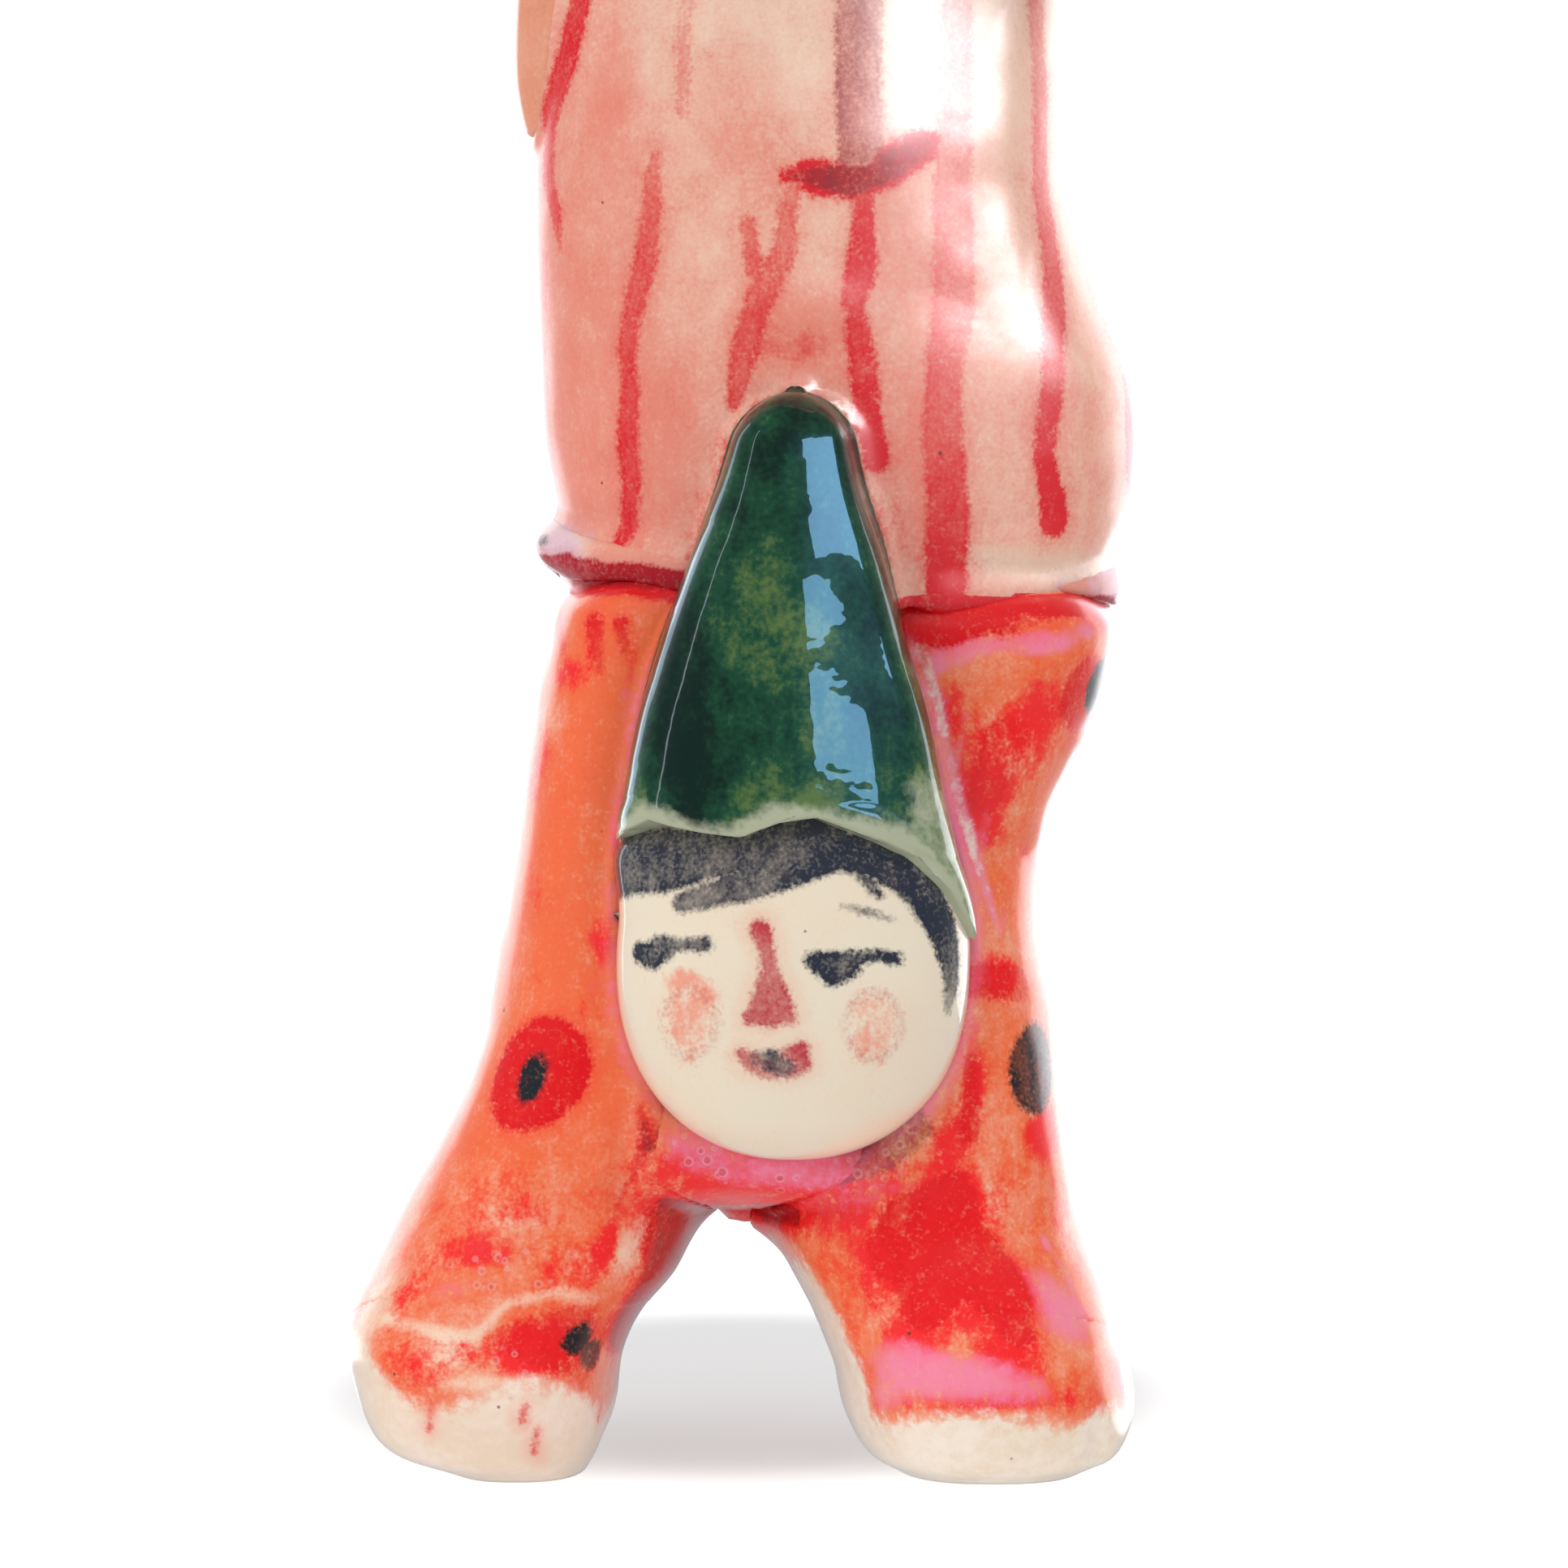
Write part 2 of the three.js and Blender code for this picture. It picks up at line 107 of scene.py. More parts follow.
TUNIC = [
    (HEM, -8.7, 18.3, -6.6, 11.4),
    (46.8, -8.8, 19.0, -6.9, 12.0),
    (49.0, -9.3, 20.0, -7.1, 12.5),
    (52.3, -10.0, 20.4, -7.2, 12.8),
    (56.0, -10.2, 20.1, -7.1, 12.7),
    (60.0, -10.4, 18.6, -6.9, 12.3),
    (65.0, -10.5, 16.9, -6.7, 11.8),
    (68.0, -10.4, 16.6, -6.5, 11.6),
    (71.0, -10.3, 16.5, -6.0, 11.4),
    (74.0, -10.2, 16.5, -5.5, 11.3),
    (77.0, -10.0, 16.6, -5.1, 11.2),
    (82.0, -9.2, 15.9, -5.0, 10.8),
    (86.5, -7.2, 13.8, -4.2, 9.6),
    (89.6, -4.6, 10.9, -2.4, 8.2),
    (SHOULDER, -2.6, 8.8, -1.2, 7.2),
]
SMALL_HAT = [
    (27.0, -6.0, 11.7, -12.7, -3.6),
    (29.5, -6.2, 11.5, -13.0, -3.6),
    (32.0, -6.2, 10.9, -13.0, -3.6),
    (35.0, -5.7, 10.2, -12.8, -3.8),
    (39.0, -4.9, 9.4, -12.4, -4.0),
    (43.0, -3.7, 8.2, -11.9, -4.2),
    (47.0, -2.3, 7.1, -11.4, -4.4),
    (50.4, -0.9, 6.0, -10.6, -4.8),
    (54.8, 0.5, 5.1, -9.6, -5.2),
]
HAT = [
    (104.6, -7.3, 13.5, -6.6, 12.6),
    (107.5, -7.4, 13.6, -6.7, 12.7),
    (111.0, -6.8, 13.1, -6.2, 12.3),
    (116.0, -5.0, 11.6, -4.7, 11.3),
    (121.0, -3.0, 9.9, -3.0, 10.1),
    (126.0, -0.9, 8.3, -1.1, 8.9),
    (131.0, 1.3, 7.0, 0.7, 7.9),
    (HAT_TIP, 3.4, 6.4, 2.4, 7.2),
]
NECK = [(90.6, -1.2, 7.4, -0.8, 6.8), (95.6, -1.2, 7.4, -0.8, 6.8)]

# Rolled coils: the points that the middle follows, and the radius at the start, middle and end.
LEFT_ARM = dict(
    points=[(-3.6, 3.0, 88.4), (-7.4, 2.4, 86.0), (-9.4, 1.2, 82.6), (-9.7, 0.8, 79.0)],
    radii=(3.4, 3.1, 2.7),
    aside=(0, 1, 0),
)
LEFT_HAND = dict(
    points=[(-9.6, 0.8, 79.2), (-9.5, 1.0, 74.4), (-10.0, 1.0, 68.2)],
    radii=(2.0, 1.8, 0.8),
    aside=(0, 1, 0),
)
RIGHT_ARM = dict(
    points=[
        (10.2, 3.0, 88.6), (14.4, 2.6, 86.0), (16.8, 0.2, 82.8),
        (15.8, -4.0, 80.8), (12.0, -6.6, 81.0), (8.8, -7.2, 82.2),
    ],
    radii=(3.4, 3.1, 2.6),
    aside=(0, 0, 1),
)
RIGHT_HAND = dict(
    points=[(9.8, -7.2, 81.8), (6.6, -6.9, 83.2), (3.4, -5.9, 85.0)],
    radii=(1.9, 2.2, 1.5),
    aside=(0, 0, 1),
)
COLLAR = dict(across=5.3, deep=4.9, height=92.3, radius=1.25)
HEM_OPENING = (0.4, 2 * math.pi - 0.5)  # from the right of the small hat, round the back, to its left
HEM_TURNS = (0.4, 1.45, 2.3, 3.14, 4.1, 4.85, 5.78)
HEM_HEIGHTS = (44.4, 45.0, 45.6, 46.0, 46.6, 47.0, 45.6)
HEM_THICK = (0.6, 0.85, 1.2, 1.3, 1.3, 0.85, 0.5)
HEM_OUT = (-1.0, 0.1, 0.25, 0.25, 0.25, 0.6, 0.0)


# ---------------------------------------------------------------- working with clay


def smooth(low, high, value):
    """0 below low, 1 above high, and an S-curve between."""
    t = np.clip((value - low) / (high - low), 0, 1)
    return t * t * (3 - 2 * t)


def rounded(value, power):
    """value to a power, keeping its sign: what makes an oval squarer."""
    return np.sign(value) * np.abs(value) ** power


def unevenness(points, size, seed):
    """Smooth random heights from -1 to 1: seeded values on a lattice of that size, blended by a quintic
    fade."""
    count = 24
    lattice = np.random.default_rng(seed).uniform(-1, 1, (count,) * 3)
    place = points / size + 500.0
    cell = np.floor(place).astype(int)
    part = place - cell
    part = part**3 * (part * (part * 6 - 15) + 10)
    total = np.zeros(points.shape[:-1])
    for corner in np.ndindex(2, 2, 2):
        share = np.prod(np.where(corner, part, 1 - part), axis=-1)
        total += share * lattice[tuple(np.moveaxis((cell + corner) % count, -1, 0))]
    return total


def soft_min(a, b, soft):
    """The lesser of two distances, rounded off where they are within soft of each other."""
    near = np.clip(1 - np.abs(a - b) / soft, 0, 1)
    return np.minimum(a, b) - near * near * soft / 4


def slice_at(slices, height):
    """The slice at each height, by a smooth curve through the slices."""
    table = np.array(slices, float)
    last = len(table) - 1
    i = np.clip(np.searchsorted(table[:, 0], height, side="right") - 1, 0, last - 1)
    a, b = table[i], table[i + 1]
    before, after = table[np.maximum(i - 1, 0)], table[np.minimum(i + 2, last)]
    span = (b - a)[:, :1]
    t = np.clip((height[:, None] - a[:, :1]) / span, 0, 1)
    start = (b - before) / (b - before)[:, :1] * span
    end = (after - a) / (after - a)[:, :1] * span
    return a + t * (start + t * (3 * (b - a) - 2 * start - end + t * (2 * (a - b) + start + end)))


def turns(around):
    """Angles round a piece, from the middle of its front, rising towards the right."""
    return 2 * np.pi * np.arange(around) / around


class Lump:
    """A stack of soft oval slices: x and y go round each slice's middle as sine and cosine to a power
    below 1."""

    def __init__(self, slices, power=2.3, domes=(0, 0)):
        """Slices are (height, left, right, front, back); a dome rounds off the bottom or the top over its
        height."""
        self.slices, self.power, self.domes = slices, power, domes
        self.low, self.high = slices[0][0], slices[-1][0]

    def size_at(self, z):
        """The share of its full size at a height: a quarter circle over each dome, 1 elsewhere."""
        size = np.ones_like(z)
        for dome, reach in zip(self.domes, (z - self.low, self.high - z)):
            if dome:
                size = size * np.sqrt(np.clip(1 - np.clip(1 - reach / dome, 0, 1) ** 2, 0, 1))
        return size

    def ovals(self, z):
        """The middle and half width, and the middle and half depth, of the slice at each height."""
        _, left, right, front, back = np.moveaxis(slice_at(self.slices, z.ravel()).reshape(z.shape + (5,)),
                                                  -1, 0)
        return (left + right) / 2, (right - left) / 2, (front + back) / 2, (back - front) / 2

    def grid(self, wall, end, around, lift=None):
        """Rows from the lower pole up. lift(turn, z) moves a row along the slices, such as for a wavy rim."""
        ramp = np.linspace(0, 1, end + 1)
        rows = []
        for dome, edge, inward in zip(self.domes, (self.low, self.high), (1, -1)):
            if dome:
                arc = ramp * np.pi / 2
                rows.append(np.stack([edge + inward * dome * (1 - np.cos(arc)), np.sin(arc)], 1))
            else:
                rows.append(np.stack([np.full(end + 1, edge), np.sin(ramp * np.pi / 2)], 1))
        z = np.linspace(rows[0][-1, 0], rows[1][-1, 0], wall + 2)[1:-1]
        middle = np.stack([z, np.ones(wall)], 1)
        rows = np.concatenate([rows[0], middle, rows[1][::-1]])
        turn = turns(around)[None, :]
        z = rows[:, :1] + 0 * turn
        if lift is not None:
            z = z + lift(turn, z)
        cx, half_width, cy, half_depth = self.ovals(z)
        size = rows[:, 1:]
        x = cx + half_width * size * rounded(np.sin(turn), 2 / self.power)
        y = cy - half_depth * size * rounded(np.cos(turn), 2 / self.power)
        return np.stack([x, y, z], -1)

    def distance(self, p):
        """Roughly how far outside the lump a point is: along the line to its slice's middle, or beyond its
        ends."""
        z = np.clip(p[..., 2], self.low + 1e-3, self.high - 1e-3)
        cx, half_width, cy, half_depth = self.ovals(z)
        size = np.maximum(self.size_at(z), 0.08)
        dx, dy = p[..., 0] - cx, p[..., 1] - cy
        share = (np.abs(dx / (half_width * size)) ** self.power + np.abs(dy / (half_depth * size)) ** self.power)
        share = np.maximum(share ** (1 / self.power), 1e-4)
        reach = np.maximum(np.hypot(dx, dy), 1e-3)
        across = reach * (1 - 1 / share)
        beyond = np.maximum(self.low - p[..., 2], p[..., 2] - self.high)
        return np.where(beyond > 0, np.hypot(np.maximum(across, 0), beyond), np.maximum(across, beyond))


class Bead:
    """A ball squeezed to three radii, a little squarer than an ellipsoid."""

    def __init__(self, centre, radii, power=2.2):
        """Power 2 is an ellipsoid; more makes it squarer."""
        self.centre, self.radii, self.power = np.array(centre), np.array(radii), power

    def grid(self, rows, around):
        """Rises from the bottom pole to the top one and turns round: sines and cosines to the power 2 /
        power."""
        rise = np.linspace(0, np.pi, rows + 2)[:, None]
        turn = turns(around)[None, :]
        size = np.sin(rise) ** (2 / self.power)
        unit = np.stack(
            [
                size * rounded(np.sin(turn), 2 / self.power),
                -size * rounded(np.cos(turn), 2 / self.power),
                -rounded(np.cos(rise), 2 / self.power) + 0 * turn,
            ],
            -1,
        )
        return self.centre + self.radii * unit

    def distance(self, p):
        """Roughly the distance outside it: the reach from its middle, less that reach over the share of
        the radius."""
        out = p - self.centre
        share = np.maximum(np.sum(np.abs(out / self.radii) ** self.power, -1) ** (1 / self.power), 1e-4)
        reach = np.linalg.norm(out, axis=-1)
        return reach * (1 - 1 / share)


class Coil:
    """A round-ended roll: circles carried along a smooth curve, closed by half-round ends."""

    def __init__(self, points, radii, aside):
        """A smooth curve through the points, measured evenly along its length."""
        knots = np.array(points, float)
        count = 40
        t = np.linspace(0, len(knots) - 1, count * (len(knots) - 1) + 1)
        i = np.minimum(t.astype(int), len(knots) - 2)
        f = (t - i)[:, None]
        padded = np.concatenate([[2 * knots[0] - knots[1]], knots, [2 * knots[-1] - knots[-2]]])
        a, b, c, d = padded[i], padded[i + 1], padded[i + 2], padded[i + 3]
        curve = 0.5 * (2 * b + f * (c - a + f * (2 * a - 5 * b + 4 * c - d + f * (3 * b - a - 3 * c + d))))
        walked = np.concatenate([[0], np.cumsum(np.linalg.norm(np.diff(curve, axis=0), axis=1))])
        self.length = walked[-1]
        even = np.linspace(0, self.length, 81)
        self.curve = np.stack([np.interp(even, walked, curve[:, k]) for k in range(3)], 1)
        self.even, self.radii, self.aside = even, radii, np.array(aside, float)

    def radius(self, along):
        """A line from the start to the end radius, plus a parabola that gives the middle one halfway."""
        start, middle, end = self.radii
        t = along / self.length
        ends = start + (end - start) * t
        return ends + (middle - ends) * 4 * t * (1 - t)

    def grid(self, rows, around):
        """Rings along the curve, a little closer together at the ends, each turned about the way it runs."""
        arc = np.linspace(0, 1, rows + 2)
        along = self.length * (arc - 0.12 * np.sin(2 * np.pi * arc))
        middle = np.stack([np.interp(along, self.even, self.curve[:, k]) for k in range(3)], 1)
        way = np.gradient(self.curve, axis=0)
        way = np.stack([np.interp(along, self.even, way[:, k]) for k in range(3)], 1)
        way /= np.linalg.norm(way, axis=1, keepdims=True)
        side = np.cross(way, self.aside)
        side /= np.linalg.norm(side, axis=1, keepdims=True)
        over = np.cross(way, side)
        radius = self.radius(along)
        reach = np.minimum(along, self.length - along) / radius
        size = radius * np.sqrt(np.clip(1 - np.clip(1 - reach, 0, 1) ** 2, 0, 1))
        turn = turns(around)[None, :, None]
        ring = side[:, None] * np.cos(turn) + over[:, None] * np.sin(turn)
        return middle[:, None] + size[:, None, None] * ring

    def distance(self, p):
        """The least distance to a ball at each second point of the curve."""
        flat = p.reshape(-1, 3)
        radius = self.radius(self.even)
        best = np.full(len(flat), 1e3)
        for knot, r in zip(self.curve[::2], radius[::2]):
            best = np.minimum(best, np.linalg.norm(flat - knot, axis=1) - r)
        return best.reshape(p.shape[:-1])


class HemRoll:
    """The coil round the tunic's lower edge: at each turn its middle is on the tunic, at the hem's height
    there."""

    def line(self, turn):
        """The roll's middle line: the tunic's oval at that turn and height, set out by a little."""
        height = np.interp(turn, HEM_TURNS, HEM_HEIGHTS)
        cx, half_width, cy, half_depth = Lump(TUNIC).ovals(height)
        out = np.interp(turn, HEM_TURNS, HEM_OUT)
        x = cx + (half_width + out) * rounded(np.sin(turn), 0.87)
        y = cy - (half_depth + out) * rounded(np.cos(turn), 0.87)
        return np.stack([x, y, height], -1)

    def radius(self, turn):
        """The thickness at that turn, rounded to nothing over the last 0.4 radians at each end."""
        first, last = HEM_OPENING
        ends = np.clip(np.minimum(turn - first, last - turn) / 0.4, 0, 1)
        thick = np.interp(turn, HEM_TURNS, HEM_THICK)
        return thick * np.sqrt(np.clip(1 - (1 - ends) ** 2, 0, 1))

    def grid(self, rows, around):
        """Rings along the middle line, closer together at the ends."""
        step = np.linspace(0, 1, rows + 2)
        turn = HEM_OPENING[0] + (HEM_OPENING[1] - HEM_OPENING[0]) * (step - 0.02 * np.sin(2 * np.pi * step))
        middle = self.line(turn)
        way = np.gradient(middle, axis=0)
        way /= np.linalg.norm(way, axis=1, keepdims=True)
        side = np.cross(way, (0, 0, 1))
        side /= np.linalg.norm(side, axis=1, keepdims=True)
        over = np.cross(way, side)
        angle = turns(around)[None, :, None]
        ring = side[:, None] * np.cos(angle) + over[:, None] * np.sin(angle)
        return middle[:, None] + self.radius(turn)[:, None, None] * ring

    def distance(self, p):
        """The distance to the middle line at the same turn round the tunic, less the radius there."""
        cx, half_width, cy, half_depth = Lump(TUNIC).ovals(np.clip(p[..., 2], 44.2, 49))
        across, deep = (p[..., 0] - cx) / half_width, (p[..., 1] - cy) / half_depth
        turn = np.arctan2(rounded(across, 1.15), -rounded(deep, 1.15)) % (2 * np.pi)
        inside = np.clip(turn, *HEM_OPENING)
        away = np.linalg.norm(p - self.line(inside), axis=-1)
        return away - np.interp(inside, HEM_TURNS, HEM_THICK)


def outward(grid):
    """Unit normals of a grid whose columns close round it."""
    along = np.roll(grid, -1, 1) - np.roll(grid, 1, 1)
    up = np.gradient(grid, axis=0)
    normal = np.cross(along, up)
    length = np.linalg.norm(normal, axis=-1, keepdims=True)
    up_pole = np.sign(np.gradient(grid[..., 2].mean(1)))[:, None, None] * [0, 0, 1]
    return np.where(length > 1e-9, normal / np.maximum(length, 1e-9), up_pole)


def smeared(grid, own, others, soft, sink=0.6, deepest=1.2):
    """Clay smeared over a joint: points move out to the soft union of this lump and its neighbours, and dip
    below it where a neighbour's clay is the nearer, so that each piece shows up to the middle of the joint."""
    normal = outward(grid)
    p = grid.copy()

    def neighbours(q):
        """The distance to all the others as one softly joined body."""
        near = others[0].distance(q)
        for other in others[1:]:
            near = soft_min(near, other.distance(q), soft)
        return near

    travel = np.zeros(grid.shape[:-1])
    for _ in range(6):
        near, mine = neighbours(p), own.distance(p)
        pull = soft_min(mine, near, soft) * smooth(-0.6 * soft, -0.15 * soft, near - mine)
        travel = np.clip(travel - np.clip(pull, -soft / 4, 0.02), 0, 0.5 * soft)
        p = grid + normal * travel[..., None]
    return p - normal * np.clip(sink * (own.distance(p) - neighbours(p)), 0, deepest)[..., None]


def pressed(grid, dents):
    """Finger work: each dent is a centre, three reaches and a height, a soft mound along the surface's
    normal."""
    normal = outward(grid)
    height = np.zeros(grid.shape[:-1])
    for *centre, rx, ry, rz, tall in dents:
        height += tall * np.exp(-np.sum(((grid - centre) / (rx, ry, rz)) ** 2, -1))
    return grid + normal * height[..., None]


def handmade(grid, seed, amount=0.16, flat_below=None):
    """Hand-built unevenness in three sizes. flat_below keeps a sole flat."""
    rough = (
        unevenness(grid, 9.0, seed) + 0.45 * unevenness(grid, 4.2, seed + 1) + 0.16 * unevenness(grid, 1.9,
                                                                                                 seed + 2)
    )
    if flat_below is not None:
        rough = rough * smooth(flat_below, flat_below + 2.5, grid[..., 2])
    return grid + outward(grid) * (amount * rough)[..., None]


# ---------------------------------------------------------------- painting

PIGMENTS = ("wash", "blush", "red_depth", "red_load", "ink_depth", "ink_load", "lilac", "bare_depth", "fizz")


def seen(grid):
    """Where points seem to be, across and up, to an eye 330 mm in front of the figure and 3 degrees above
    it."""
    across, up = grid[..., 0] - EYE_ON[0], grid[..., 2] - EYE_ON[1]
    rise = up * math.cos(EYE_TILT) + grid[..., 1] * math.sin(EYE_TILT)
    away = EYE_DISTANCE + grid[..., 1] * math.cos(EYE_TILT) - up * math.sin(EYE_TILT)
    return EYE_ON[0] + across * EYE_DISTANCE / away, EYE_ON[1] + 0.45 + rise * EYE_DISTANCE / away


class Canvas:
    """A piece unrolled: s is the way round each row from the middle of its front, and z is the height.
    Both are
    measured as the eye in front sees them, so marks are placed by where they are seen."""

    def __init__(self, grid):
        """Measures how far each point lies along its ring, and starts with no pigment."""
        step = np.linalg.norm(np.roll(grid, -1, 1) - grid, axis=2)
        walked = np.concatenate([np.zeros((len(grid), 1)), np.cumsum(step, 1)], 1)
        half = grid.shape[1] // 2
        columns = np.arange(grid.shape[1])
        self.grid = grid
        self.round = walked[:, -1]
        self.s = walked[:, :-1] - np.where(columns > half, 1, 0) * walked[:, -1:]
        self.x, self.z = seen(grid)
        self.paint = {name: np.zeros(self.z.shape) for name in PIGMENTS}
        for name in ("red_depth", "ink_depth", "bare_depth"):
            self.paint[name] -= 3.0
        self.front = np.r_[grid.shape[1] - grid.shape[1] // 4 : grid.shape[1], 0 : grid.shape[1] // 4 + 1]

    def at(self, x, z):
        """The s of a point on the front, given as seen from there."""
        wide = self.round > 0.9 * self.round.max() * 0.3
        row = np.argmin(np.where(wide, np.abs(self.z[:, 0] - z), 1e3))
        return np.interp(x, self.x[row, self.front], self.s[row, self.front])

    def line(self, path, front=True):
        """Depth inside a brush stroke, and its load there. A path's points are x (or s), z, half width,
        load."""
        depth = np.full(self.z.shape, -3.0)
        load = np.zeros(self.z.shape)
        knots = [(self.at(x, z) if front else x, z, w, a) for x, z, w, a in path]
        for (s0, z0, w0, a0), (s1, z1, w1, a1) in zip(knots, knots[1:]):
            ds, dz = s1 - s0, z1 - z0
            t = np.clip(((self.s - s0) * ds + (self.z - z0) * dz) / (ds * ds + dz * dz), 0, 1)
            inside = w0 + (w1 - w0) * t - np.hypot(self.s - s0 - t * ds, self.z - z0 - t * dz)
            load = np.where(inside > depth, a0 + (a1 - a0) * t, load)
            depth = np.maximum(depth, inside)
        return depth, load

    def lay(self, pigment, depth, load):
        """Puts a stroke over what is already there."""
        d, a = self.paint[pigment + "_depth"], self.paint[pigment + "_load"]
        self.paint[pigment + "_load"] = np.where(depth > d, load, a)
        self.paint[pigment + "_depth"] = np.maximum(d, depth)

    def stroke(self, pigment, path, front=True):
        """A brush stroke along a path of (place, height, half width, load)."""
        self.lay(pigment, *self.line(path, front))

    def spot(self, pigment, x, z, rx, rz, load, front=True):
        """An oval dab: full in its middle and spent at its edge."""
        s = self.at(x, z) if front else x
        far = np.hypot((self.s - s) / rx, (self.z - z) / rz)
        self.lay(pigment, (1 - far) * min(rx, rz), load)

    def patch(self, name, *patches, front=True):
        """Soft-edged colour: each patch is x (or s), z, two reaches and a strength."""
        left = 1 - self.paint[name]
        for x, z, rx, rz, strength in patches:
            s = self.at(x, z) if front else x
            far = ((self.s - s) / rx) ** 2 + ((self.z - z) / rz) ** 2
            left = left * (1 - strength * np.exp(-far * far * 0.5 - far * 0.5))
        self.paint[name] = 1 - left


PIECES = {}


def fired(name, node, grid, paint, glaze):
    """Puts a finished grid into a mesh: one point for each pole row, quads between rows, triangles at the
    poles."""
    rows, around = grid.shape[:2]
    points = np.concatenate([grid[:1].mean(1), grid[1:-1].reshape(-1, 3), grid[-1:].mean(1)])
    columns = np.arange(around)
    after = (columns + 1) % around
    first = 1 + np.arange(rows - 3)[:, None] * around
    quads = np.stack([first + columns, first + after, first + around + after, first + around + columns], -1)
    top = len(points) - 1
    under = np.stack([0 * columns, 1 + after, 1 + columns], -1)
    over = np.stack([0 * columns + top, top - around + columns, top - around + after], -1)
    corners = np.concatenate([under.ravel(), quads.ravel(), over.ravel()])
    sizes = np.concatenate([np.full(around, 3), np.full(quads[..., 0].size, 4), np.full(around, 3)])
    mesh = bpy.data.meshes.new(name)
    mesh.vertices.add(len(points))
    mesh.vertices.foreach_set("co", (points * MM).astype(np.float32).ravel())
    mesh.loops.add(len(corners))
    mesh.loops.foreach_set("vertex_index", corners.astype(np.int32))
    mesh.polygons.add(len(sizes))
    mesh.polygons.foreach_set("loop_start", np.concatenate([[0], np.cumsum(sizes)[:-1]]).astype(np.int32))
    mesh.update(calc_edges=True)
    mesh.polygons.foreach_set("use_smooth", np.ones(len(sizes), bool))
    for key, values in paint.items():
        flat = np.concatenate([values[:1].mean(1), values[1:-1].ravel(), values[-1:].mean(1)])
        mesh.attributes.new(key, "FLOAT", "POINT").data.foreach_set("value", flat.astype(np.float32))
    mesh.materials.append(glaze)
    piece = bpy.data.objects.new(name, mesh)
    bpy.context.scene.collection.objects.link(piece)
    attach(piece, "root")
    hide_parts(node)
    PIECES[node] = piece


# ---------------------------------------------------------------- glazes


def colour(red, green, blue):
    """A shade given as on a paint chart, 0 to 255, in the linear light that the shaders use."""
    return tuple(((c / 255 + 0.055) / 1.055) ** 2.4 if c > 10 else c / 255 / 12.92 for c in (red, green,
                                                                                             blue)) + (1,)


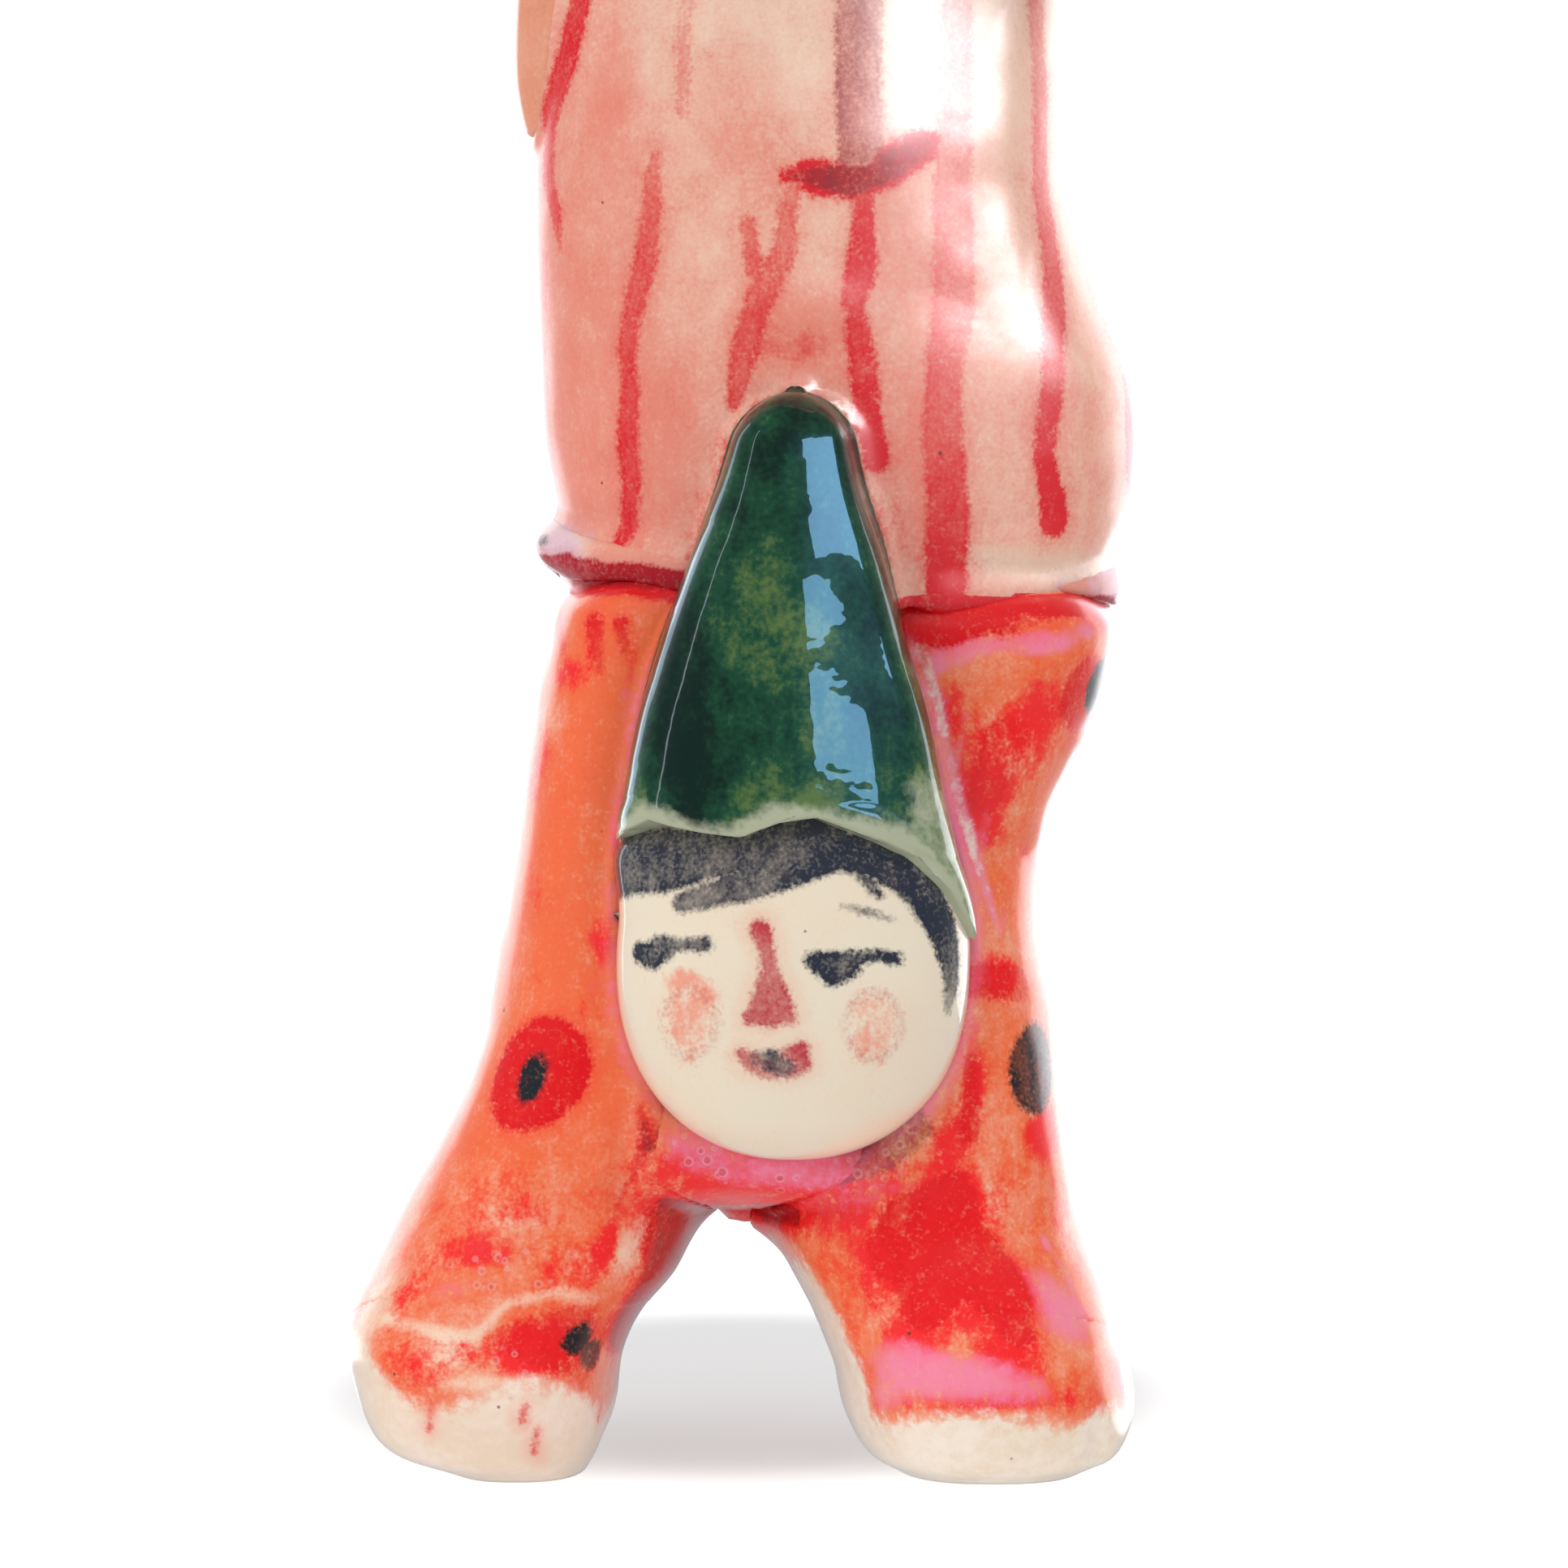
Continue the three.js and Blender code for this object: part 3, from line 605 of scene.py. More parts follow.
class Glaze:
    """A material being mixed: each method adds a node and hands on its output."""

    def __init__(self, name, roughness, coat, coat_roughness, bump=0.02):
        """A clay body with a coat of glass over it."""
        self.material = bpy.data.materials.new(name)
        self.material.use_nodes = True
        self.nodes, self.links = self.material.node_tree.nodes, self.material.node_tree.links
        self.shader = self.nodes["Principled BSDF"]
        self.shader.inputs["Roughness"].default_value = roughness
        self.shader.inputs["Coat Weight"].default_value = coat
        self.shader.inputs["Coat Roughness"].default_value = coat_roughness
        self.shader.inputs["Coat IOR"].default_value = 1.5
        self.shader.inputs["Specular IOR Level"].default_value = 0.2
        self.millimetres = self.scaled(self.nodes.new("ShaderNodeTexCoord").outputs["Object"], (1000,) * 3)

    def put(self, socket, value):
        """Links a socket, or sets a plain value."""
        if isinstance(value, bpy.types.NodeSocket):
            self.links.new(value, socket)
        else:
            socket.default_value = value

    def scaled(self, vector, scale):
        """A position times a scale along each axis."""
        node = self.nodes.new("ShaderNodeVectorMath")
        node.operation = "MULTIPLY"
        self.put(node.inputs[0], vector)
        node.inputs[1].default_value = scale
        return node.outputs[0]

    def sum(self, operation, a, b=0.0, clamp=False):
        """One step of arithmetic between two values."""
        node = self.nodes.new("ShaderNodeMath")
        node.operation = operation
        node.use_clamp = clamp
        self.put(node.inputs[0], a)
        self.put(node.inputs[1], b)
        return node.outputs[0]

    def painted(self, name):
        """The amount that was brushed on the piece under this name."""
        node = self.nodes.new("ShaderNodeAttribute")
        node.attribute_name = name
        return node.outputs["Fac"]

    def noise(self, size, detail=2.0, stretch=(1, 1, 1), roughness=0.55):
        """Cloudy noise centred on 0, about -0.5 to 0.5, with blotches of that size in millimetres."""
        node = self.nodes.new("ShaderNodeTexNoise")
        self.put(node.inputs["Vector"], self.scaled(self.millimetres, tuple(1 / (size * k) for k in stretch)))
        node.inputs["Scale"].default_value = 1.0
        node.inputs["Detail"].default_value = detail
        node.inputs["Roughness"].default_value = roughness
        return self.sum("SUBTRACT", node.outputs[0], 0.5)

    def cells(self, size, feature="F1"):
        """Distance to scattered points, in cell widths, and each cell's own random number."""
        node = self.nodes.new("ShaderNodeTexVoronoi")
        node.feature = feature
        self.put(node.inputs["Vector"], self.scaled(self.millimetres, (1 / size,) * 3))
        node.inputs["Scale"].default_value = 1.0
        apart = self.nodes.new("ShaderNodeSeparateColor")
        self.links.new(node.outputs["Color"], apart.inputs[0])
        return node.outputs["Distance"], apart.outputs[0]

    def step(self, value, low, high, to_low=0.0, to_high=1.0):
        """A smooth step between two values."""
        node = self.nodes.new("ShaderNodeMapRange")
        node.interpolation_type = "SMOOTHSTEP"
        self.put(node.inputs["Value"], value)
        node.inputs["From Min"].default_value = low
        node.inputs["From Max"].default_value = high
        node.inputs["To Min"].default_value = to_low
        node.inputs["To Max"].default_value = to_high
        return node.outputs[0]

    def mix(self, share, a, b, blend="MIX"):
        """One shade over another by a share."""
        node = self.nodes.new("ShaderNodeMix")
        node.data_type = "RGBA"
        node.blend_type = blend
        self.put(node.inputs["Factor"], share)
        self.put(node.inputs["A"], a)
        self.put(node.inputs["B"], b)
        return node.outputs["Result"]

    def finish(self, shade, *heights):
        """Joins the colour, and the heights as (height, millimetres) bumps, to the shader."""
        self.links.new(shade, self.shader.inputs["Base Color"])
        normal = None
        for height, tall in heights:
            bump = self.nodes.new("ShaderNodeBump")
            bump.inputs["Strength"].default_value = 1.0
            bump.inputs["Distance"].default_value = tall * MM
            self.links.new(height, bump.inputs["Height"])
            if normal is not None:
                self.links.new(normal, bump.inputs["Normal"])
            normal = bump.outputs[0]
        if normal is not None:
            self.links.new(normal, self.shader.inputs["Normal"])
            self.links.new(normal, self.shader.inputs["Coat Normal"])
        return self.material


def brushed_glaze(name, clay, wash, blush, red, ink, lilac, bare, grain=(1, 1, 2.2), patchy=0.5, gloss=0.03,
                  coat=1.0, grainy=0.2):
    """Washes and strokes of underglaze on pale clay under a clear glaze: every layer's edge is frayed by
    noise."""
    g = Glaze(name, roughness=0.38, coat=coat, coat_roughness=gloss)
    fray = g.noise(0.55, 3)
    cloud = g.noise(2.6, 4)
    broad = g.noise(7.5, 2)
    brush = g.noise(0.8, 2, grain)
    grit = g.noise(0.2, 2)

    def uneven(amount, *parts):
        """The amount, plus a share of each noise."""
        for noise, share in parts:
            amount = g.sum("ADD", amount, g.sum("MULTIPLY", noise, share))
        return amount

    pale = g.mix(g.step(uneven(broad, (cloud, 0.5), (grit, 0.25)), -0.3, 0.3), clay, between(clay, bare, 0.7))
    thick = g.step(uneven(g.painted("wash"), (cloud, patchy), (brush, 0.5 * patchy), (fray, 0.4 * patchy),
                          (grit, 0.4)), 0, 1)
    shade = g.mix(thick, pale, wash)

    soaked = uneven(g.painted("blush"), (cloud, 0.9), (brush, 0.75), (fray, 0.5), (grit, 0.5))
    shade = g.mix(g.step(soaked, 0.25, 0.8), shade, blush)

    fog = uneven(g.painted("lilac"), (cloud, 0.9), (fray, 0.8), (grit, 0.5))
    shade = g.mix(g.step(fog, 0.25, 1.0, 0, 0.8), shade, lilac)

    edge = uneven(g.painted("bare_depth"), (broad, 2.6), (cloud, 1.8), (fray, 1.6), (grit, 0.8))
    light = between(bare, (0.95, 0.93, 0.86, 1), 0.45)
    raw = g.mix(g.step(uneven(cloud, (broad, 0.7), (fray, 0.5), (grit, 0.3)), -0.25, 0.3), bare, light)
    shade = g.mix(g.step(edge, -0.6, 0.5), shade, raw)

    def brushwork(kind, edge, pool):
        """How much a pigment covers: a frayed edge times a load that pools near it."""
        depth = uneven(g.painted(kind + "_depth"), (fray, edge), (cloud, edge * 0.7), (grit, 0.5))
        cover = g.step(depth, -0.2, 0.26)
        load = uneven(g.painted(kind + "_load"), (g.step(depth, 0.5, 0.1, 0, pool), 1), (brush, 0.55),
                      (grit, 0.6))
        return g.sum("MULTIPLY", cover, load, clamp=True)

    near = uneven(g.painted("red_depth"), (cloud, 0.8), (grit, 0.5))
    halo = g.sum("MULTIPLY", g.step(near, -1.1, 0.1, 0, 0.35), g.painted("red_load"))
    shade = g.mix(halo, shade, blush)
    shade = g.mix(brushwork("red", 0.4, 0.06), shade, red)
    shade = g.mix(brushwork("ink", 0.34, 0.05), shade, ink)
    shade = g.mix(g.step(uneven(grit, (cloud, 0.7)), 0.05, 0.6, 0, 0.2), shade, between(blush, ink, 0.25))

    shade = g.mix(g.step(uneven(grit, (fray, 0.9)), -0.05, -0.55, 0, grainy), shade, bare)

    far, luck = g.cells(0.75)
    size = g.step(luck, 0.0, 1.0, 0.18, 0.36)
    off = g.sum("SUBTRACT", far, size)
    ring = g.sum("MULTIPLY", g.step(off, -0.16, -0.02), g.step(off, 0.1, 0.0))
    ring = g.sum("MULTIPLY", ring, g.step(g.painted("fizz"), 0.25, 0.7))
    shade = g.mix(g.sum("MULTIPLY", ring, 0.32), shade, between(lilac, bare, 0.5))
    inside = g.sum("MULTIPLY", g.step(off, -0.08, -0.16), g.step(g.painted("fizz"), 0.25, 0.7))
    shade = g.mix(g.sum("MULTIPLY", inside, 0.4), shade, between(red, ink, 0.25))

    near_speck, which = g.cells(1.7)
    speck = g.sum("MULTIPLY", g.step(near_speck, 0.075, 0.045), g.step(which, 0.86, 0.88))
    shade = g.mix(g.sum("MULTIPLY", speck, 0.75), shade, colour(92, 52, 38))
    pits = g.sum("MULTIPLY", ring, -1.0)
    return g.finish(shade, (g.noise(1.3, 2), 0.012), (fray, 0.003), (pits, 0.02))


def between(a, b, share):
    """A shade between two shades."""
    return tuple(p + (q - p) * share for p, q in zip(a, b))


def hat_glaze(name):
    """Thick green glaze: nearly black where it pooled, olive where it is thin, cream where it broke at the
    rim."""
    g = Glaze(name, roughness=0.3, coat=1.0, coat_roughness=0.015)
    cloud = g.noise(3.2, 4)
    fray = g.noise(0.6, 3)
    run = g.noise(2.2, 3, (1, 1, 3.5))
    thin = g.painted("wash")
    mottle = g.noise(1.2, 3, (1, 1, 1.6))
    depth = g.sum("ADD", thin, g.sum("MULTIPLY", cloud, 1.4))
    depth = g.sum("ADD", depth, g.sum("MULTIPLY", run, 1.0))
    depth = g.sum("ADD", depth, g.sum("MULTIPLY", mottle, 1.0))
    depth = g.sum("ADD", depth, g.sum("MULTIPLY", g.noise(0.3, 2), 0.9))
    shade = g.mix(g.step(depth, -0.35, 0.45), colour(14, 38, 32), colour(26, 74, 52))
    shade = g.mix(g.step(depth, 0.25, 0.85), shade, colour(86, 112, 62))
    shade = g.mix(g.step(g.sum("ADD", run, g.sum("MULTIPLY", fray, 0.6)), 0.12, 0.42, 0, 0.35), shade,
                  colour(84, 84, 34))
    shade = g.mix(g.step(g.sum("ADD", g.painted("blush"), g.sum("MULTIPLY", cloud, 0.5)), 0.3, 0.9, 0, 0.7),
                  shade,
                  colour(52, 50, 26))
    edge = g.sum("ADD", g.painted("bare_depth"), g.sum("MULTIPLY", fray, 1.0))
    edge = g.sum("ADD", edge, g.sum("MULTIPLY", cloud, 1.1))
    shade = g.mix(g.step(edge, -0.5, 0.35, 0, 0.9), shade, colour(176, 180, 154))
    ink = g.sum("ADD", g.painted("ink_depth"), g.sum("MULTIPLY", fray, 0.4))
    shade = g.mix(g.sum("MULTIPLY", g.step(ink, -0.06, 0.16), g.painted("ink_load")), shade,
                  colour(52, 52, 62))
    return g.finish(shade, (g.noise(2.0, 2), 0.02))


# ---------------------------------------------------------------- the pieces of clay

LEFT, RIGHT = Lump(LEFT_LEG, 2.5), Lump(RIGHT_LEG, 2.5)
CROTCH = Lump(SADDLE, 3.0, (2.8, 0))
SACK = Lump(TUNIC, 2.3)
SMALL_HEAD = Bead(SMALL_HEAD_CENTRE, SMALL_HEAD_RADII, 2.2)
CONE = Lump(SMALL_HAT, 2.2, (0, 2.4))
HEM_COIL = HemRoll()
BIG_HEAD = Bead(HEAD_CENTRE, HEAD_RADII, 2.1)
BIG_HAT = Lump(HAT, 2.1, (0, 2.6))
SLEEVES = [Coil(**LEFT_ARM), Coil(**RIGHT_ARM)]
HANDS = [Coil(**LEFT_HAND), Coil(**RIGHT_HAND)]


def count(number):
    """The number of rows or columns at this fineness."""
    return int(number * FINE)


def body_distance(lumps, soft):
    """One neighbour made of several lumps."""

    class Joined:
        """The lumps as one body."""
        def distance(self, p):
            """The softened least of the lumps' distances."""
            near = lumps[0].distance(p)
            for lump in lumps[1:]:
                near = soft_min(near, lump.distance(p), soft)
            return near

    return Joined()


def leg_shape(own, across, dents):
    """A leg and its foot in one: smeared into the other leg, the saddle and the small gnome."""
    grid = own.grid(count(230), count(26), count(300))
    canvas = Canvas(grid)
    grid = smeared(grid, own, [across, CROTCH], 3.6, 0.6, 1.0)
    grid = smeared(grid, own, [SMALL_HEAD, CONE], 1.3, 0.6, 1.0)
    grid = handmade(grid, 11, 0.2, flat_below=0.2)
    return pressed(grid, dents), canvas


def split_leg(grid, canvas, foot_name, leg_name, seam, glaze):
    """Parts a leg from its foot along a wavy seam: each runs on a little under the other, sunk out of
    sight."""
    normal = outward(grid)
    above = canvas.z - seam
    for name, node, sign, slot in ((foot_name, foot_name, 1, "boot_clay"),
                                   (leg_name, leg_name, -1, "leg_glaze")):
        past = np.clip(sign * above - (0.3 if sign < 0 else 0), 0, 2)
        part = grid - normal * (np.minimum(past * 0.7, 0.9) - (0.02 if sign < 0 else 0))[..., None]
        rows = np.where(sign * (canvas.z[:, 0] - seam.mean()) < 3.2)[0]
        lo, hi = rows.min(), rows.max() + 1
        share = np.sin(np.linspace(0.02, 0.98, count(10)) * np.pi / 2)[:, None, None]
        keep = part[lo:hi]
        paint = {key: values[lo:hi] for key, values in canvas.paint.items()}
        if lo > 0:
            middle = keep[0].mean(0)
            keep = np.concatenate([middle + (keep[0] - middle) * share, keep])
            paint = {k: np.concatenate([np.repeat(v[:1], len(share), 0), v]) for k, v in paint.items()}
        if hi < len(part):
            middle = keep[-1].mean(0)
            keep = np.concatenate([keep, middle + (keep[-1] - middle) * share[::-1]])
            paint = {k: np.concatenate([v, np.repeat(v[-1:], len(share), 0)]) for k, v in paint.items()}
        fired(name, node, keep, paint, glaze)


def hem_red(c, grid):
    """The dark red line brushed into the groove under the hem's roll."""
    reach = 1.5 + 0.5 * unevenness(grid, 1.7, 161) + 0.5 * smooth(4, 8, grid[..., 0])
    depth = reach - np.maximum(HEM_COIL.distance(grid), 0)
    c.lay("red", np.where(grid[..., 2] < hem_line(grid) + 0.2, depth, -3.0), 1.0)
    left = smooth(-2, -4, grid[..., 0]) * (grid[..., 1] < 0)
    c.lay("ink", np.where(grid[..., 2] < hem_line(grid), depth - 0.75 - 2 * (1 - left), -3.0), 0.3)
    for x, z, low, half in ((-9.2, 43.8, 42.2, 0.3), (-7.4, 43.6, 41.2, 0.4), (-6.0, 43.6, 42.0, 0.3),
                            (9.2, 43.4, 41.4, 0.3)):
        c.stroke("red", [(x, z, half * 1.4, 0.9), (x + 0.25, low, half * 0.6, 0.5)])


def hem_line(grid):
    """The height of the hem's coil beside each point."""
    cx, half_width, cy, half_depth = SACK.ovals(np.full(grid.shape[:-1], 46.0))
    turn = np.arctan2((grid[..., 0] - cx) / half_width, -(grid[..., 1] - cy) / half_depth) % (2 * np.pi)
    return np.interp(turn, HEM_TURNS, HEM_HEIGHTS)


def left_leg(glaze):
    """The left leg and its foot: dented, painted and parted at the glaze line."""
    dents = [
        (-12.0, -9.0, 8.6, 5.0, 2.5, 0.8, 0.3),
        (-17.0, -8.0, 6.6, 2.6, 2.5, 0.9, 0.22),
        (-8.6, -9.4, 4.6, 3.2, 3.0, 2.4, 0.35),
        (-17.8, -6.0, 2.2, 2.2, 4.0, 1.6, 0.25),
        (-5.8, -6.6, 16.0, 0.8, 3.0, 2.6, -0.35),
        (-12.0, -7.4, 31.0, 3.0, 4.0, 5.0, 0.25),
        (-9.0, -6.8, 13.2, 5.0, 4.0, 2.4, -0.3),
    ]
    grid, c = leg_shape(LEFT, RIGHT, dents)
    p = c.paint
    p["wash"] += 0.82 + 0.15 * smooth(10, 30, c.z)
    c.patch("wash", (-9.5, 33.0, 3.0, 5.0, 0.2))
    c.patch(
        "blush",
        (-8.8, 41.0, 1.6, 1.0, 0.65), (-10.2, 36.8, 1.6, 3.0, 0.55), (-7.0, 27.6, 1.0, 1.6, 0.75),
        (-10.6, 30.0, 1.4, 3.0, 0.3), (-6.0, 33.0, 0.8, 3.0, 0.45), (-12.6, 14.0, 3.2, 2.2, 0.35),
        (-8.0, 10.8, 2.4, 1.2, 0.45), (-10.0, 6.6, 2.8, 1.6, 0.95), (-15.4, 6.4, 2.6, 0.9, 0.5),
        (-16.4, 5.2, 2.0, 0.7, 0.35), (-6.6, 12.0, 0.6, 2.4, 0.5), (-13.8, 24.0, 1.0, 3.0, 0.3),
        (-7.6, 23.5, 1.0, 2.0, 0.35), (-11.0, 25.5, 1.4, 1.0, 0.3),
        (-9.4, 43.0, 0.4, 1.4, 0.6), (-7.4, 42.6, 0.5, 1.6, 0.5), (-5.4, 42.4, 0.4, 2.0, 0.55),
        (-16.6, 9.4, 1.0, 1.6, 0.4), (-14.0, 11.4, 3.0, 0.8, 0.45),
    )
    c.stroke("red", [(-17.8, 12.4, 0.25, 0.7), (-18.6, 10.4, 0.4, 0.8), (-19.2, 8.8, 0.2, 0.6)])
    c.stroke("red",
             [(-5.2, 19.0, 0.2, 0.55), (-4.9, 17.4, 0.45, 0.85), (-5.6, 15.4, 0.2, 0.6),
              (-6.0, 14.0, 0.14, 0.5)])
    c.stroke("ink", [(-5.1, 18.2, 0.1, 0.3), (-4.9, 17.0, 0.3, 0.35)])
    pale = c.line([(-17.8, 8.1, 0.1, 1), (-15.2, 7.3, 0.15, 1), (-13.4, 7.2, 0.1, 1), (-11.9, 8.9, 0.15, 1),
                   (-9.4, 9.5, 0.2, 1), (-7.2, 9.0, 0.05, 1)])[0]
    p["wash"] -= 0.5 * smooth(-0.45, 0.2, pale)
    for x, z, rx, rz, thin in ((-18.4, 8.4, 1.4, 1.8, 0.6), (-14.8, 6.4, 1.2, 0.9, 0.45),
                               (-11.2, 13.2, 2.2, 0.8, 0.3),
                               (-5.2, 11.9, 1.0, 1.2, 0.8), (-13.4, 4.9, 2.0, 0.5, 0.5),
                               (-9.4, 38.8, 1.2, 1.0, 0.3)):
        p["wash"] -= thin * np.exp(-(((c.s - c.at(x, z)) / rx) ** 2) - ((c.z - z) / rz) ** 2)
    p["blush"] += 0.14 * smooth(18, 12, c.z)
    c.stroke("red",
             [(-12.0, 7.2, 0.7, 0.4), (-9.4, 7.2, 1.6, 0.48), (-7.6, 6.6, 1.5, 0.48), (-8.2, 5.2, 0.8, 0.4)])
    c.spot("red", -10.3, 20.6, 2.75, 2.95, 1.0)
    c.spot("ink", -10.55, 20.4, 0.8, 1.25, 1.0)
    for x, z, long in ((-15.7, 3.2, 0.7), (-10.3, 1.9, 0.6), (-10.9, 3.4, 0.5), (-6.9, 3.4, 0.4)):
        c.stroke("red", [(x, z + long, 0.14, 0.5), (x - 0.15, z - long, 0.2, 0.75)])
    c.spot("ink", -8.1, 7.1, 0.95, 0.85, 1.0)
    c.spot("ink", -7.4, 6.3, 0.95, 0.8, 0.8)
    # The arch's inner side, facing the other leg: blush and red brushwork, with thin ink over it as painted shade
    # between the legs.
    inner = smooth(-7.0, -4.5, grid[..., 1]) * smooth(-8.5, -6.5, grid[..., 0]) * smooth(5.0, 7.5, c.z)
    inner = inner * smooth(15.5, 13.5, c.z)
    p["blush"] = np.maximum(p["blush"], inner)
    c.lay("red", inner * 1.6 - 0.8, 0.85)
    c.lay("ink", inner * 1.2 - 0.85, 0.35)
    c.patch("lilac", (-5.4, 11.6, 0.9, 1.4, 0.35))
    c.patch("fizz", (-11.5, 10.7, 4.0, 1.3, 1.0), (-11.3, 5.4, 2.2, 1.6, 0.9))
    c.patch("lilac", (-17.8, 11.6, 0.9, 1.4, 0.45), (-14.6, 9.6, 1.6, 0.8, 0.4), (-12.8, 4.6, 2.6, 0.8, 0.35))
    limit = 4.1 + 0.5 * np.sin(c.s * 0.6) + 2.6 * smooth(c.at(-16.0, 6), c.at(-19.3, 6), c.s) * (c.s > -14)
    p["bare_depth"] = np.clip(limit - c.z, -3, 3)
    rear_marks(c, 21, ((0.36, 33.0), (0.45, 18.0), (-0.3, 30.0), (-0.46, 24.0)))
    under_the_chin(c, grid)
    around_small_gnome(c, grid)
    hem_red(c, grid)
    seam = 8.3 + 0.8 * smooth(-16, -7, c.s) - 0.35 * np.sin(c.s * 0.35)
    split_leg(grid, c, "left_foot", "left_leg", seam, glaze)


def right_leg(glaze):
    """The right leg and its foot: dented, painted and parted at the glaze line."""
    dents = [
        (19.0, -6.5, 1.8, 1.0, 3.0, 1.4, 0.35),
        (17.9, -7.4, 2.4, 0.4, 3.0, 1.2, -0.4),
        (11.5, -9.2, 4.6, 4.0, 3.0, 2.6, 0.3),
        (10.0, -7.2, 13.0, 4.0, 4.0, 2.5, -0.25),
        (14.6, -7.0, 31.5, 2.0, 4.0, 1.2, -0.35),
        (13.6, -7.0, 36.0, 3.0, 4.0, 2.4, 0.3),
        (7.5, -7.4, 13.6, 2.4, 3.0, 2.0, 0.2),
    ]
    grid, c = leg_shape(RIGHT, LEFT, dents)
    p = c.paint
    p["wash"] += 0.85
    p["blush"] += 0.16 + 0.12 * smooth(24, 16, c.z)
    c.patch(
        "blush",
        (13.4, 37.2, 2.8, 2.0, 0.75), (12.4, 34.0, 1.6, 2.2, 0.8), (15.6, 39.4, 2.2, 1.4, 0.6),
        (10.6, 39.0, 1.2, 1.8, 0.5),
        (13.2, 25.6, 1.5, 1.3, 1.0), (11.4, 23.0, 0.9, 1.6, 0.55), (15.4, 17.8, 1.2, 1.5, 1.0),
        (11.8, 19.4, 0.7, 2.4, 0.95), (10.6, 17.0, 1.2, 1.4, 0.7), (11.0, 13.6, 2.6, 2.2, 1.0),
        (8.2, 11.6, 2.2, 1.4, 0.95), (10.6, 9.4, 2.8, 2.2, 1.0), (13.8, 9.6, 1.6, 1.6, 0.9),
        (13.9, 6.4, 1.8, 1.4, 0.85), (9.0, 7.0, 1.4, 1.2, 0.8), (12.0, 4.0, 5.0, 0.7, 0.6),
        (16.2, 13.0, 1.0, 2.4, 0.35), (7.0, 9.0, 0.9, 2.2, 0.5), (14.8, 28.6, 0.9, 1.0, 0.3),
    )
    for path in (
        [(10.9, 15.0, 0.8, 0.62), (8.8, 12.8, 1.9, 0.7), (9.6, 10.4, 1.9, 0.66), (9.2, 8.4, 1.0, 0.6)],
        [(11.2, 14.2, 0.9, 0.62), (11.6, 11.4, 2.0, 0.7), (13.0, 9.6, 1.8, 0.66), (14.0, 7.6, 1.0, 0.6)],
        [(7.0, 12.2, 0.5, 0.5), (7.4, 10.6, 0.6, 0.5)],
        [(13.4, 37.6, 1.2, 0.3), (12.4, 34.6, 0.8, 0.3)],
        [(12.0, 25.4, 0.9, 0.5), (14.2, 25.2, 0.9, 0.45)],
        [(15.6, 18.6, 0.6, 0.5), (15.9, 17.2, 0.6, 0.45)],
        [(11.8, 21.4, 0.3, 0.5), (11.7, 17.6, 0.6, 0.6)],
    ):
        c.stroke("red", path)
    c.stroke("red", [(14.6, 31.9, 0.14, 0.6), (15.2, 31.2, 0.22, 0.85), (15.5, 30.5, 0.14, 0.7)])
    c.spot("red", 19.2, 5.0, 0.5, 1.1, 0.9)
    c.spot("ink", 15.0, 20.9, 1.9, 2.4, 0.88)
    c.spot("red", 17.6, 40.0, 2.0, 2.0, 0.8)
    c.spot("ink", 18.2, 40.4, 1.3, 1.5, 1.0)
    # Lilac patches low on the leg and under the hem. The patch at (16.4, 8.4), and the four thin ones from (9.7,
    # 40.0) to (13.4, 28.0) along the highlight streak, are painted reflections of the light in the glaze.
    c.patch(
        "lilac",
        (12.0, 42.5, 2.4, 0.8, 0.9), (15.4, 42.6, 2.0, 0.7, 0.9), (10.4, 41.6, 1.4, 0.6, 0.7),
        (17.6, 43.2, 1.2, 0.6, 0.8), (8.6, 5.6, 2.4, 1.6, 1.0), (11.6, 5.2, 2.8, 1.4, 0.95),
        (7.4, 4.2, 1.6, 0.9, 0.7), (16.4, 8.4, 1.8, 2.0, 0.95),
        (14.2, 4.6, 1.8, 1.0, 0.6), (15.2, 9.9, 1.0, 1.0, 0.5),
        (9.7, 40.0, 0.5, 3.0, 0.6), (10.8, 36.0, 0.45, 3.6, 0.65), (12.2, 31.0, 0.45, 3.6, 0.6),
        (13.4, 28.0, 0.4, 1.6, 0.5), (5.4, 14.6, 4.0, 1.4, 0.5),
    )
    # Painted highlight: a thin pale line down the leg's turn from beside the small hat to the knee, lilac, with the
    # bare clay's colour along it.
    highlight_streak = c.line([(9.2, 42.6, 0.25, 1), (10.5, 37.5, 0.3, 1), (11.8, 32.5, 0.3, 1),
                     (13.2, 27.8, 0.2, 1)])[0]
    p["lilac"] = np.maximum(p["lilac"], 0.8 * smooth(-0.3, 0.15, highlight_streak))
    p["bare_depth"] = np.maximum(p["bare_depth"], -1.6 + 1.4 * smooth(-0.3, 0.15, highlight_streak))
    # Painted reflection: a short pale-lilac stripe lower down the leg's right side.
    for (x0, z0), (x1, z1) in (((14.0, 14.4), (15.4, 12.0)), ((15.4, 12.0), (16.8, 9.8))):
        c.patch("lilac", *[(x0 + (x1 - x0) * t, z0 + (z1 - z0) * t, 0.4, 0.6, 0.5) for t in (0.1, 0.5, 0.9)])
    c.patch("fizz", (9.0, 9.8, 2.4, 2.0, 0.35))
    limit = 2.9 + 0.25 * np.sin(c.s * 0.7 + 2)
    inner = smooth(-6.2, -8.2, c.s) * smooth(14, 9, c.z) * 1.0
    low = np.maximum(limit - c.z, (inner - 0.55) * 2.0 - smooth(-12, -16, c.s) * 3)
    p["bare_depth"] = np.clip(np.maximum(p["bare_depth"], low), -3, 3)
    rear_marks(c, 41, ((0.36, 24.0), (0.45, 36.0), (-0.4, 20.0), (0.28, 12.0)))
    under_the_chin(c, grid)
    around_small_gnome(c, grid)
    hem_red(c, grid)
    seam = 8.4 + 0.3 * np.sin(c.s * 0.5)
    split_leg(grid, c, "right_foot", "right_leg", seam, glaze)


